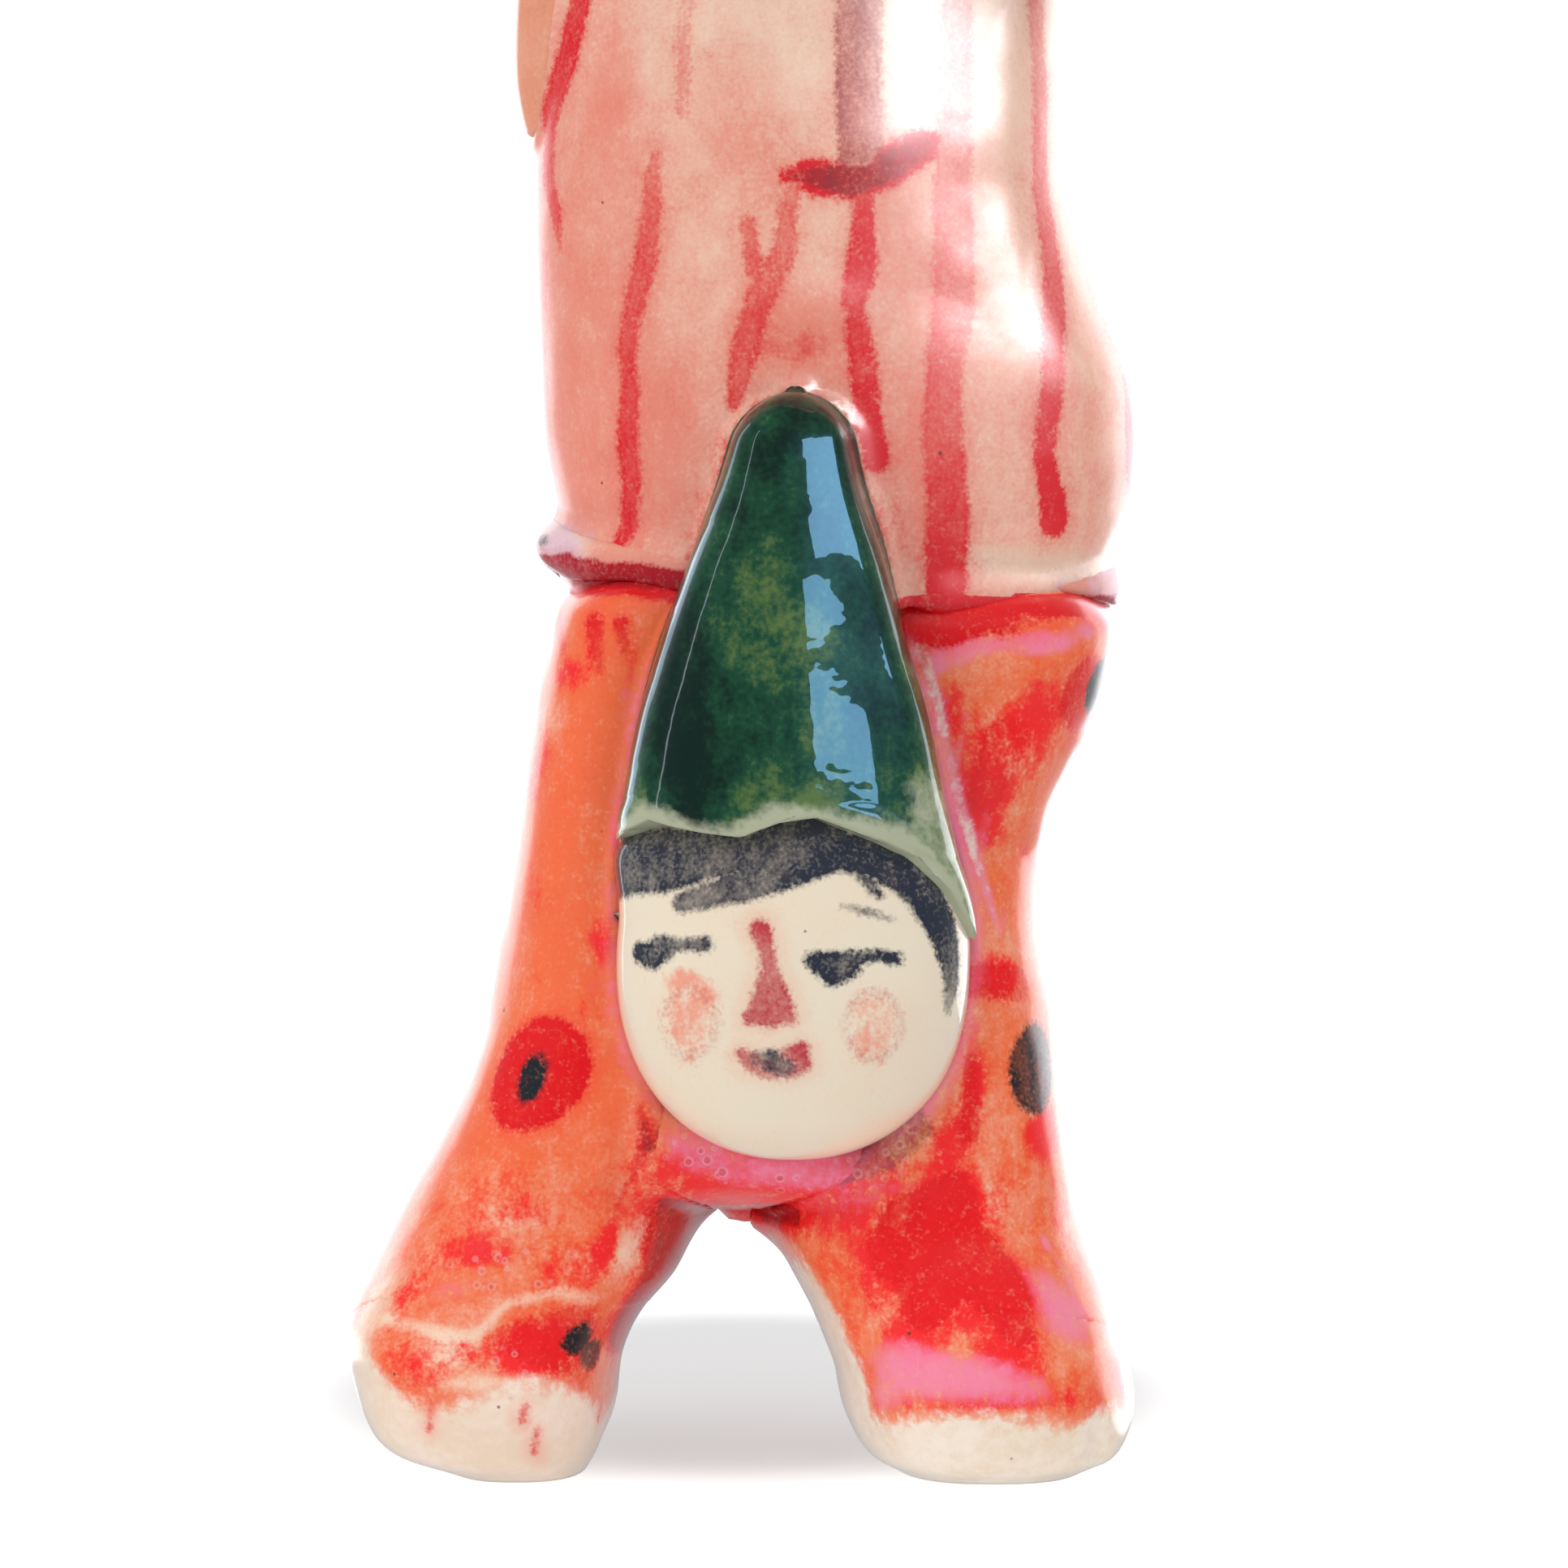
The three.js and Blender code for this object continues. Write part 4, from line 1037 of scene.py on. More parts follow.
def rear_marks(c, seed, rings):
    """The painting that goes on round the sides and back: ringed black dots, and soaked patches at random."""
    rng = np.random.default_rng(seed)
    whole = np.median(c.round)
    for share, z in rings:
        c.spot("red", share * whole, z, 2.4, 2.6, 0.95, front=False)
        c.spot("ink", share * whole + 0.2, z - 0.1, 0.8, 1.1, 0.95, front=False)
    for _ in range(16):
        s = rng.uniform(0.2, 0.8) * whole
        s = s - whole if s > whole / 2 else s
        z, rx, rz = rng.uniform(4, 42), rng.uniform(1.0, 3.0), rng.uniform(1.0, 3.4)
        c.patch("blush", (s, z, rx, rz, rng.uniform(0.3, 0.95)), front=False)


def around_small_gnome(c, grid):
    """Lilac glaze pooled in the groove round the small head and hat, with bubbles under the chin."""
    near = soft_min(SMALL_HEAD.distance(grid), CONE.distance(grid), 1.0)
    pool = np.exp(-((np.maximum(near, 0) / 1.3) ** 2)) * (0.55 + 0.25 * smooth(2, 9, grid[..., 0]))
    c.paint["lilac"] = np.maximum(c.paint["lilac"], pool * smooth(44, 40, c.z))
    chin = np.exp(-((np.maximum(near, 0) / 2.4) ** 2)) * smooth(20, 16, c.z)
    c.paint["fizz"] = np.maximum(c.paint["fizz"], chin)
    c.paint["blush"] = np.maximum(c.paint["blush"], 0.6 * chin)


def under_the_chin(c, grid):
    """The glaze that ran together over the arch: dark red low down, lilac and bubbly just under the small
    chin."""
    front = grid[..., 1] < 3
    across = np.exp(-(((grid[..., 0] - 1.6) / 8.0) ** 4)) * front
    chin = np.maximum(SMALL_HEAD.distance(grid), 0)
    c.paint["blush"] = np.maximum(c.paint["blush"],
                                  0.8 * across * smooth(18.5, 16.0, c.z) * smooth(11, 13.5, c.z))
    c.paint["lilac"] = np.maximum(c.paint["lilac"],
                                  0.7 * across * smooth(3.0, 1.2, chin) * smooth(19, 17, c.z))
    c.lay("ink",
          np.where(front, 1.6 - chin - 2 * smooth(17.5, 19.5, c.z) + 0.4 * unevenness(grid, 1.8, 171),
                   -3.0), 0.32)
    apex = 13.4 + 0.4 * smooth(-1, -4, grid[..., 0]) - 0.5 * smooth(1.5, 5, grid[..., 0])
    edge = 0.55 - np.abs(grid[..., 2] - apex) + 0.25 * unevenness(grid, 1.4, 172)
    edge = np.where(front & (np.abs(grid[..., 0] + 0.5) < 3.6), edge, -3.0)
    c.lay("red", edge, 0.95)
    c.lay("ink", edge - 0.1, 0.35)


def saddle(glaze):
    """The clay across the crotch: smeared into both legs and the small gnome, with the vent pushed up into
    it."""
    grid = CROTCH.grid(count(120), count(24), count(200))
    c = Canvas(grid)
    grid = smeared(grid, CROTCH, [LEFT, RIGHT], 3.6, 0.6, 1.0)
    grid = smeared(grid, CROTCH, [SMALL_HEAD, CONE], 1.3, 0.6, 1.0)
    grid = handmade(grid, 11, 0.2)
    away = np.hypot(grid[..., 0] - VENT_FOOT[0], grid[..., 1] - VENT_FOOT[1])
    under = grid[..., 2] < 17
    grid[..., 2] += np.where(under, 4.0 * smooth(VENT_RADIUS + 0.25, VENT_RADIUS - 0.3, away), 0)
    p = c.paint
    p["wash"] += 0.85
    p["blush"] += 0.15
    under_the_chin(c, grid)
    around_small_gnome(c, grid)
    # Painted shade: dark ink fills the inside of the vent's hole.
    p["ink_depth"] = np.where(under, VENT_RADIUS - away, -3)
    p["ink_load"] += 0.8
    fired("saddle", "saddle", grid, p, glaze)


def tunic(glaze):
    """The sack of the tunic: pinched, then dented, and painted with its stripes."""
    grid = SACK.grid(count(236), count(20), count(330))
    c = Canvas(grid)
    grid = handmade(grid, 61, 0.13)
    dents = [
        (15.8, -4.5, 47.0, 4.0, 4.0, 1.2, 0.35),
        (13.0, -6.9, 49.6, 5.0, 3.0, 1.0, -0.2),
        (-8.6, -4.0, 49.6, 2.5, 4.0, 0.9, 0.2),
        (3.0, -7.0, 59.0, 3.0, 3.0, 2.0, 0.3),
        (17.5, 0.0, 60.5, 3.0, 5.0, 3.0, -0.3),
        (-2.0, -7.0, 66.0, 4.0, 4.0, 4.0, -0.15),
    ]
    grid = pressed(grid, dents)
    grid = smeared(grid, SACK, [HEM_COIL], 2.2, 0.6, 0.9)
    grid = smeared(grid, SACK, [SMALL_HEAD, CONE], 1.4, 0.6, 0.9)
    grid = smeared(grid, SACK, [*SLEEVES, *HANDS], 1.0, 0.6, 0.9)
    p = c.paint
    p["wash"] += 0.42 + 0.16 * smooth(70, 52, c.z) - 0.2 * smooth(67, 75, c.z)
    p["lilac"] += 0.12 * smooth(68, 75, c.z)
    c.patch("wash", (3.0, 58.0, 3.0, 2.6, 0.85), (9.0, 51.0, 1.6, 6.0, 0.6), (-3.5, 53.0, 2.0, 5.0, 0.4),
            (8.4, 62.0, 1.6, 5.0, 0.45), (0.0, 69.0, 2.4, 5.0, 0.4), (-6.6, 71.0, 1.4, 4.0, 0.4))
    c.patch("blush", (2.6, 57.6, 2.8, 1.2, 0.5), (8.0, 49.0, 1.0, 4.0, 0.35), (10.2, 46.6, 1.4, 1.6, 0.85),
            (-4.6, 47.0, 1.2, 1.0, 0.3))
    # Painted highlight: a paler band along z 46.9 on the front right, where the tunic's lower edge curls out over the
    # hem.
    p["wash"] -= 0.4 * np.exp(-(((c.z - 46.9 + 0.1 * (grid[..., 0] - 12)) / 0.8) ** 2)) * smooth(9, 12,
                                                                                                 grid[...,
                                                                                                      0]) * (grid[..., 1] < 3)
    # Painted shade: a heavier wash towards the tunic's left side darkens it.
    p["wash"] += 0.3 * smooth(0, -8, grid[..., 0]) * smooth(44, 50, c.z)
    front_stripes(c)
    rear_stripes(c)
    hem_red(c, grid)
    fog = soft_min(HEM_COIL.distance(grid), np.full(c.z.shape, 9.0), 1.0)
    p["lilac"] = np.maximum(p["lilac"],
                            0.75 * np.exp(-((np.maximum(fog, 0) / 1.5) ** 2)) * smooth(6, 14,
                                                                                       np.abs(grid[...,
                                                                                                   0] - 4)))
    near_hat = CONE.distance(grid)
    p["blush"] = np.maximum(p["blush"], 0.5 * np.exp(-((np.maximum(near_hat, 0) / 0.9) ** 2)))
    fired("tunic", "tunic", grid, p, glaze)


def front_stripes(c):
    """The brushed stripes and the curved mark on the tunic's front, with a painted reflection in ink over one stripe
    and the mark's top: x, z, half width, load.
    """
    stripes = [
        [(-7.2, 78.5, 0.6, 0.75), (-8.0, 75.6, 0.7, 0.75), (-8.8, 72.4, 0.8, 0.8), (-9.7, 69.1, 0.7, 0.75)],
        [(-9.7, 68.4, 0.6, 0.6), (-9.8, 66.3, 0.6, 0.62), (-9.3, 64.4, 0.5, 0.6), (-9.1, 62.8, 0.2, 0.4)],
        [(-9.9, 62.2, 0.4, 0.3), (-10.0, 57.0, 0.5, 0.26), (-9.7, 53.0, 0.5, 0.3), (-9.1, 49.4, 0.4, 0.34)],
        [(-4.25, 67.4, 0.28, 0.3), (-4.45, 64.8, 0.5, 0.45), (-4.75, 62.4, 0.55, 0.55),
         (-5.5, 59.0, 0.5, 0.6),
         (-5.7, 57.3, 0.45, 0.6), (-5.6, 55.6, 0.5, 0.66), (-5.7, 52.8, 0.6, 0.7), (-5.5, 50.6, 0.55, 0.7),
         (-5.75, 48.0, 0.5, 0.75)],
        [(-2.8, 75.0, 0.4, 0.12), (-2.9, 69.6, 0.35, 0.1)],
        [(0.45, 64.0, 0.4, 0.4), (0.75, 61.6, 0.45, 0.45)],
        [(2.7, 65.8, 0.35, 0.35), (2.2, 62.5, 0.6, 0.5), (1.0, 59.9, 0.6, 0.55), (0.1, 57.1, 0.6, 0.62),
         (-0.3, 54.8, 0.4, 0.6)],
        [(5.9, 78.0, 0.6, 0.55), (6.0, 72.0, 0.6, 0.5), (6.2, 67.0, 0.6, 0.6), (6.3, 64.4, 0.5, 0.8),
         (6.2, 61.9, 0.75, 0.85), (5.8, 59.9, 0.5, 0.72), (6.2, 57.1, 0.65, 0.75), (6.4, 54.9, 0.65, 0.9),
         (6.95, 51.9, 0.62, 1.0)],
        [(11.3, 79.0, 0.8, 0.4), (11.0, 72.4, 0.85, 0.4), (10.9, 66.9, 0.9, 0.42), (10.9, 63.4, 1.0, 0.4),
         (10.9, 59.3, 0.95, 0.45), (10.4, 57.1, 0.85, 0.5), (10.3, 53.8, 0.9, 0.55), (10.6, 49.5, 1.0, 0.66),
         (10.4, 45.1, 0.9, 0.9)],
        [(15.0, 77.0, 0.5, 0.35), (15.3, 70.2, 0.6, 0.5), (15.5, 65.2, 0.6, 0.62), (16.0, 61.5, 0.65, 0.66),
         (16.0, 57.1, 0.65, 0.72), (15.7, 53.8, 0.6, 0.85), (15.5, 52.1, 0.55, 0.95), (16.0, 48.9, 0.8, 1.0)],
        [(19.6, 56.0, 0.3, 0.6), (19.9, 51.7, 0.7, 0.85), (19.4, 47.6, 0.5, 0.8)],
        [(-7.0, 77.3, 0.35, 0.5), (-3.0, 76.9, 0.4, 0.6), (2.0, 76.8, 0.35, 0.55), (9.0, 77.2, 0.4, 0.6),
         (15.4, 77.4, 0.35, 0.6)],
    ]
    for path in stripes:
        c.stroke("red", [(x, z, w * 1.12, a + 0.12) for x, z, w, a in path])
    # Painted reflection: from the waist down to the curved mark, thin ink greys a wide red stripe, like the dark bar
    # of a window mirrored in the glaze; the red stripe under it is brushwork.
    c.stroke("red", [(6.2, 79.0, 1.2, 0.45), (6.1, 67.4, 1.15, 0.5)])
    c.stroke("ink", [(6.2, 79.0, 1.2, 0.28), (6.1, 67.4, 1.15, 0.3)])
    c.stroke("red", [(2.3, 66.4, 0.35, 1.0), (3.7, 66.35, 0.95, 1.0), (5.75, 66.1, 1.05, 1.0),
                     (7.8, 67.0, 1.1, 1.0), (9.3, 67.9, 0.9, 1.0), (9.9, 68.25, 0.5, 1.0)])
    # Painted reflection: thin ink over the top of the curved red mark greys it where the same mirrored bar runs over
    # it. The red mark itself is brushwork.
    c.stroke("ink",
             [(2.6, 66.4, 0.2, 0.3), (5.4, 66.2, 0.9, 0.48), (7.8, 67.0, 0.8, 0.36), (9.2, 67.9, 0.6, 0.2)])


def rear_stripes(c):
    """Stripes of the same brush round the tunic's sides and back, and above the waist."""
    rng = np.random.default_rng(71)
    whole = np.median(c.round)
    for s in np.linspace(0.3, 0.7, 7) * whole:
        s = s - whole if s > whole / 2 else s
        low, high = rng.uniform(46, 53), rng.uniform(66, 76)
        heights = np.linspace(high, low, 7)
        sway = np.cumsum(rng.uniform(-0.35, 0.35, 7))
        path = [(s + d, z, w, a) for d, z, w,
                a in zip(sway, heights, rng.uniform(0.4, 0.8, 7), np.linspace(0.4, 0.95, 7))]
        c.stroke("red", path, front=False)
    for s in np.linspace(-0.46, 0.46, 12) * whole:
        heights = np.linspace(rng.uniform(86, 89), rng.uniform(78.5, 81), 5)
        sway = np.cumsum(rng.uniform(-0.25, 0.25, 5))
        path = [(s * (1 - 0.3 * (z - 77) / 12) + d, z, w, a) for d, z, w, a in
                zip(sway, heights, rng.uniform(0.35, 0.6, 5), np.linspace(0.35, 0.8, 5))]
        c.stroke("red", path, front=False)
    ring = [(s, 77.3 + 0.25 * math.sin(s), 0.38, 0.6) for s in np.linspace(0.25, 0.5, 9) * whole]
    c.stroke("red", ring, front=False)
    c.stroke("red", [(-s, z, w, a) for s, z, w, a in ring], front=False)


def hem_roll(glaze):
    """The rolled hem: smeared up into the tunic, with a knob at its left end."""
    grid = HEM_COIL.grid(count(420), count(40))
    paint = plain_paint(grid)
    grid = handmade(grid, 81, 0.12)
    grid = smeared(grid, HEM_COIL, [SACK], 2.2, 0.6, 0.9)
    grid = smeared(grid, HEM_COIL, [CONE, LEFT, RIGHT], 0.5, 0.6, 0.9)
    knob = np.array([-10.4, -0.4, 47.3])
    grid = pressed(grid, [(*knob, 1.3, 1.8, 1.2, 0.35), (-9.9, -2.4, 47.4, 0.4, 0.6, 0.5, -0.2)])
    under = hem_line(grid) - grid[..., 2]
    paint["wash"] += 0.35 + 0.6 * smooth(-8.6, -6.6, grid[..., 0])
    low = np.where(grid[..., 1] > 0, 0.75,
                   np.where(grid[..., 0] < 0, -0.3 + 0.45 * smooth(-8.4, -10, grid[..., 0]), 0.15))
    paint["red_depth"] = np.clip((under - low) * 1.6 + 0.25 * unevenness(grid, 1.1, 162), -3, 3)
    paint["red_load"] += 0.95
    hole = np.hypot(grid[..., 0] + 10.0, grid[..., 2] - 47.4)
    paint["ink_depth"] = np.where(grid[..., 1] < 0, 0.32 - hole, -3.0)
    paint["ink_load"] += 0.6
    left = grid[..., 0] < 0
    paint["lilac"] += np.where(left, 0.95 * smooth(-6.4, -9.0, grid[..., 0]),
                               0.8 * smooth(15.5, 18.5, grid[..., 0])) + 0.2 * smooth(4, 9, grid[..., 1])
    paint["blush"] += 0.12 + 0.5 * smooth(0.3, 0.9, under)
    fired("hem_roll", "hem_roll", grid, paint, glaze)


def plain_paint(grid):
    """No pigment anywhere: every depth lies 3 mm outside its stroke."""
    paint = {name: np.zeros(grid.shape[:2]) for name in PIGMENTS}
    for name in ("red_depth", "ink_depth", "bare_depth"):
        paint[name] -= 3.0
    return paint


def rim_height(x):
    """How high the small hat's rim lies over the face, across the front."""
    return np.interp(
        x,
        (-6.2, -5.8, -4.6, -3.4, -1.8, 0.2, 2.0, 4.2, 6.2, 8.2, 9.5, 10.8, 11.5, 12.0),
        (32.6, 33.1, 33.8, 33.5, 33.2, 33.0, 33.7, 34.0, 33.3, 32.6, 31.9, 30.2, 28.2, 26.2),
    )


def small_hat(glaze):
    """The small cone hat, with its rim lifted over the face."""
    def lift(turn, z):
        """The rim rises over the face and falls at the sides; the rise is spent 8 mm up."""
        across = SMALL_HEAD_CENTRE[0] + 8.9 * rounded(np.sin(turn), 0.9)
        rise = np.where(np.cos(turn) > -0.2, rim_height(across) - CONE.low, 1.0)
        return rise * smooth(CONE.low + 12.0, CONE.low, z) ** 1.3

    grid = CONE.grid(count(170), count(20), count(260), lift)
    c = Canvas(grid)
    grid = handmade(grid, 91, 0.2)
    grid = pressed(grid, [(7.4, -10.4, 42.9, 1.3, 2.5, 1.2, -0.4), (0.0, -12.0, 37.5, 3.0, 3.0, 1.6, -0.15),
                          (7.4, -12.0, 36.4, 1.8, 2.5, 3.0, 0.2)])
    lip = np.exp(-(((height_over_rim(grid) - 0.8) / 0.8) ** 2))
    grid = grid + outward(grid) * (0.12 * lip)[..., None]
    grid = smeared(grid, BrimmedCone(), [body_distance([LEFT, RIGHT, CROTCH, SACK], 2.0)], 1.3, 0.6, 0.9)
    p = c.paint
    above = height_over_rim(grid)
    p["bare_depth"] = np.clip(0.6 - above + 0.25 * np.sin(grid[..., 0] * 1.1), -3, 3)
    side = smooth(6.0, 9.2, grid[..., 0]) * smooth(40, 35, grid[..., 2])
    p["bare_depth"] = np.maximum(p["bare_depth"], -1.8 + 1.7 * side)
    p["wash"] += 0.15 + 0.45 * np.exp(-((above / 1.8) ** 2)) + 0.3 * np.exp(-(((grid[...,
                                                                                     0] - 3.5) / 2.5) ** 2)) * smooth(50, 42, c.z)
    p["wash"] -= 0.45 * np.exp(-(((grid[..., 0] + 2.4) / 1.6) ** 2)) * smooth(46, 40, c.z)
    p["wash"] += 0.8 * smooth(7.5, 10.5, grid[..., 0]) * smooth(41, 36, c.z)
    p["blush"] += smooth(50.5, 55.5, c.z) * 0.2
    fired("small_hat", "small_hat", grid, p, glaze)


class BrimmedCone:
    """The small hat above its wavy rim."""

    def distance(self, p):
        """The cone's distance, or the depth below the wavy rim if that is more."""
        return np.maximum(CONE.distance(p), rim_height(p[..., 0]) - p[..., 2])


def height_over_rim(grid):
    """How far above the small hat's rim each point is."""
    return grid[..., 2] - rim_height(grid[..., 0])


def face(c, cx, cz, k=1.0, turned=1.0):
    """A few naive brush marks: fringe, narrow eyes, a tapering nose, a mouth and round cheeks, about a
    centre."""

    def at(points):
        """The stroke's points, scaled, and mirrored where the side asks for it."""
        return [(cx + turned * k * x, cz + k * z, k * w, a) for x, z, w, a in points]

    fringe = [
        [(-8.2, 4.6, 1.3, 0.97), (-6.0, 5.3, 1.6, 0.93), (-3.6, 5.8, 1.4, 0.85), (-1.0, 6.2, 1.1, 0.9),
         (2.2, 7.0, 1.2, 1.0)],
        [(-5.2, 3.2, 0.5, 0.75), (-1.9, 4.2, 0.9, 0.85), (0.7, 5.1, 1.05, 0.92), (2.6, 5.9, 1.1, 1.0),
         (4.6, 5.6, 1.1, 1.0), (6.4, 4.6, 1.1, 1.0), (7.4, 3.5, 1.15, 1.0), (8.1, 2.0, 1.1, 1.0),
         (8.5, 0.4, 0.85, 0.9), (8.6, -0.9, 0.6, 0.8), (8.4, -2.2, 0.3, 0.5)],
        [(3.7, 4.9, 0.3, 0.8), (4.5, 4.2, 0.4, 0.85), (4.9, 3.6, 0.2, 0.8)],
        [(5.6, 4.4, 0.3, 0.8), (6.6, 3.2, 0.35, 0.85), (7.0, 2.4, 0.2, 0.8)],
        [(3.0, 3.1, 0.12, 0.5), (4.2, 2.8, 0.24, 0.6), (5.6, 2.4, 0.16, 0.5)],
    ]
    eyes = [
        [(-7.3, 0.7, 0.55, 0.92), (-6.6, 0.6, 0.8, 0.95), (-6.0, 0.8, 0.6, 0.9)],
        [(-6.4, 1.2, 0.45, 0.85), (-4.6, 1.1, 0.36, 0.8), (-4.0, 1.15, 0.45, 0.85)],
        [(1.6, 0.3, 0.55, 1.0), (2.6, -0.1, 0.95, 1.0), (3.4, 0.1, 0.7, 0.97)],
        [(3.2, 0.4, 0.5, 0.95), (4.8, 0.55, 0.36, 0.92), (5.8, 0.4, 0.4, 1.0)],
    ]
    nose = [
        [(-1.15, 1.9, 0.55, 0.95), (-0.85, 0.9, 0.42, 0.7), (-0.65, -0.3, 0.5, 0.75),
         (-0.65, -1.2, 0.85, 0.85),
         (-0.6, -2.0, 1.1, 0.85)],
        [(-1.7, -2.6, 0.4, 0.8), (0.35, -2.6, 0.4, 0.8)],
    ]
    mouth = [
        [(-2.1, -4.4, 0.3, 0.8), (-1.5, -5.0, 0.5, 0.7), (-0.4, -5.4, 0.5, 0.5)],
        [(0.2, -4.5, 0.45, 0.7), (0.9, -4.3, 0.5, 0.95), (1.0, -4.9, 0.45, 0.85), (0.4, -5.4, 0.4, 0.6)],
    ]
    for path in fringe + eyes:
        c.stroke("ink", at(path))
    for path in nose + mouth:
        c.stroke("red", at(path))
    c.stroke("ink", at([(-1.3, -4.7, 0.4, 0.5), (-0.6, -4.8, 0.6, 0.8), (0.1, -5.1, 0.5, 0.65)]))
    for x, z in ((-4.8, -2.9), (4.6, -3.0)):
        far = np.hypot((c.s - c.at(cx + turned * k * x, cz + k * z)) / 1.5, (c.z - cz - k * z) / 1.75)
        c.lay("red", 0.2 - np.abs(1.5 * (far - 0.95)), 0.14)
    c.patch(
        "blush",
        *[(cx + turned * k * x, cz + k * z, k * rx, k * rz, a) for x, z, rx, rz, a in
          ((-4.9, -2.8, 1.7, 1.9, 0.62), (4.5, -3.1, 1.5, 1.95, 0.62), (-5.1, -0.6, 1.3, 0.7, 0.75),
           (-3.8, -1.4, 1.0, 0.7, 0.45))],
    )


def small_head(glaze):
    """The small head: a flattened bead with its nose, cheeks, mouth and hair pressed out."""
    grid = SMALL_HEAD.grid(count(190), count(260))
    c = Canvas(grid)
    grid = handmade(grid, 101, 0.1)
    x0, y0, z0 = SMALL_HEAD_CENTRE
    grid = pressed(grid,
                   [(x0 - 0.85, y0 - 5.0, z0 + 0.2, 1.0, 2, 2.0, 0.22),
                    (x0 - 5.0, y0 - 4.6, z0 - 2.2, 2.0, 2, 2.0, 0.16),
                          (x0 + 4.6, y0 - 4.6, z0 - 2.6, 2.0, 2, 2.0, 0.16),
                          (x0, y0 - 5.0, z0 - 4.6, 1.8, 2, 0.8, 0.12),
                          (x0 - 7.6, y0, z0 + 5.4, 2.2, 3.5, 2.0, 1.2)])
    grid = smeared(grid, SMALL_HEAD, [body_distance([LEFT, RIGHT, CROTCH], 3.0)], 0.5, 0.6, 0.9)
    p = c.paint
    p["wash"] += 0.1
    face(c, 2.2, 26.1)
    # Painted shade: blue-grey down the head's right side, above the chin and below the hat's flap.
    p["lilac"] += 0.55 * smooth(x0 + 7.2, x0 + 8.8, grid[..., 0]) * smooth(18, 22, c.z)
    fired("small_head", "small_head", grid, p, glaze)


def upper_figure(skin, hat_finish, tunic_finish, hand_finish):
    """The head, hat, neck, collar, arms and hands, made as the small gnome is."""
    grid = BIG_HEAD.grid(count(180), count(250))
    c = Canvas(grid)
    x0, y0, z0 = HEAD_CENTRE
    face(c, x0 + 0.2, seen(np.array([x0, y0 - 8.6, z0 - 0.8]))[1], 1.0, -1.0)
    wave = 0.5 * np.sin(c.z * 1.3) + 0.3 * np.sin(c.z * 2.9 + 1)
    c.lay("ink",
          np.minimum(c.z - z0 + 7.0 + np.sin(c.s), grid[..., 1] - y0 - 0.6 + wave + 0.35 * (z0 - c.z)), 0.9)
    grid = handmade(grid, 111, 0.14)
    grid = pressed(grid,
                   [(x0 + 0.9, y0 - 8.6, z0 - 1.4, 1.1, 2, 2.2, 0.5),
                    (x0 + 5.0, y0 - 7.0, z0 - 3.6, 2.2, 2.5, 2.2, 0.25),
                          (x0 - 5.0, y0 - 7.0, z0 - 3.6, 2.2, 2.5, 2.2, 0.25)])
    fired("head", "head", grid, c.paint, skin)

    def brim(turn, z):
        """Two waves round the brim, spent 6 mm above it."""
        return (0.5 * np.sin(2 * turn + 0.6) + 0.3 * np.sin(5 * turn)) * smooth(BIG_HAT.low + 6,
                                                                                BIG_HAT.low, z)

    grid = BIG_HAT.grid(count(180), count(20), count(260), brim)
    c = Canvas(grid)
    rise = grid[..., 2] - BIG_HAT.low - brim(turns(grid.shape[1])[None, :],
                                             np.full(grid.shape[:2], BIG_HAT.low))
    grid = handmade(grid, 121, 0.2)
    c.paint["bare_depth"] = np.clip(0.55 - rise, -3, 3)
    c.paint["wash"] += 0.1 + 0.7 * np.exp(-((rise / 2.6) ** 2))
    c.paint["blush"] += smooth(131, 137, c.z) * 0.8
    fired("hat", "hat", grid, c.paint, hat_finish)

    grid = Lump(NECK, 2.0).grid(count(24), count(10), count(90))
    fired("neck", "neck", grid, plain_paint(grid), skin)

    angle = turns(count(160))
    tube = np.linspace(0, 2 * np.pi, count(30), endpoint=False)
    collar_roll(tunic_finish, angle, tube)

    for name, arm, seed in (("left_arm", SLEEVES[0], 131), ("right_arm", SLEEVES[1], 132)):
        grid = arm.grid(count(110), count(90))
        paint = plain_paint(grid)
        paint["wash"] += 0.5
        turn = turns(grid.shape[1])[None, :]
        along = np.linspace(0, 1, grid.shape[0])[:, None]
        stripe = np.sin(5 * turn + 1.5 * np.sin(4 * along + seed))
        paint["red_depth"] = (stripe - 0.72) * 1.4 * np.sin(np.pi * along) ** 0.3
        paint["red_load"] += 0.45 + 0.4 * along
        cuff = along - 0.9
        paint["red_depth"] = np.maximum(paint["red_depth"], cuff * 14)
        grid = handmade(grid, seed, 0.14)
        grid = smeared(grid, arm, [SACK], 1.0, 0.6, 0.9)
        fired(name, name, grid, paint, tunic_finish)
    for name, hand, seed in (("left_hand", HANDS[0], 141), ("right_hand", HANDS[1], 142)):
        grid = hand.grid(count(100), count(80))
        paint = plain_paint(grid)
        paint["wash"] += 0.75
        grid = handmade(grid, seed, 0.12)
        grid = smeared(grid, hand, [SACK], 1.0, 0.6, 0.9)
        fired(name, name, grid, paint, hand_finish)


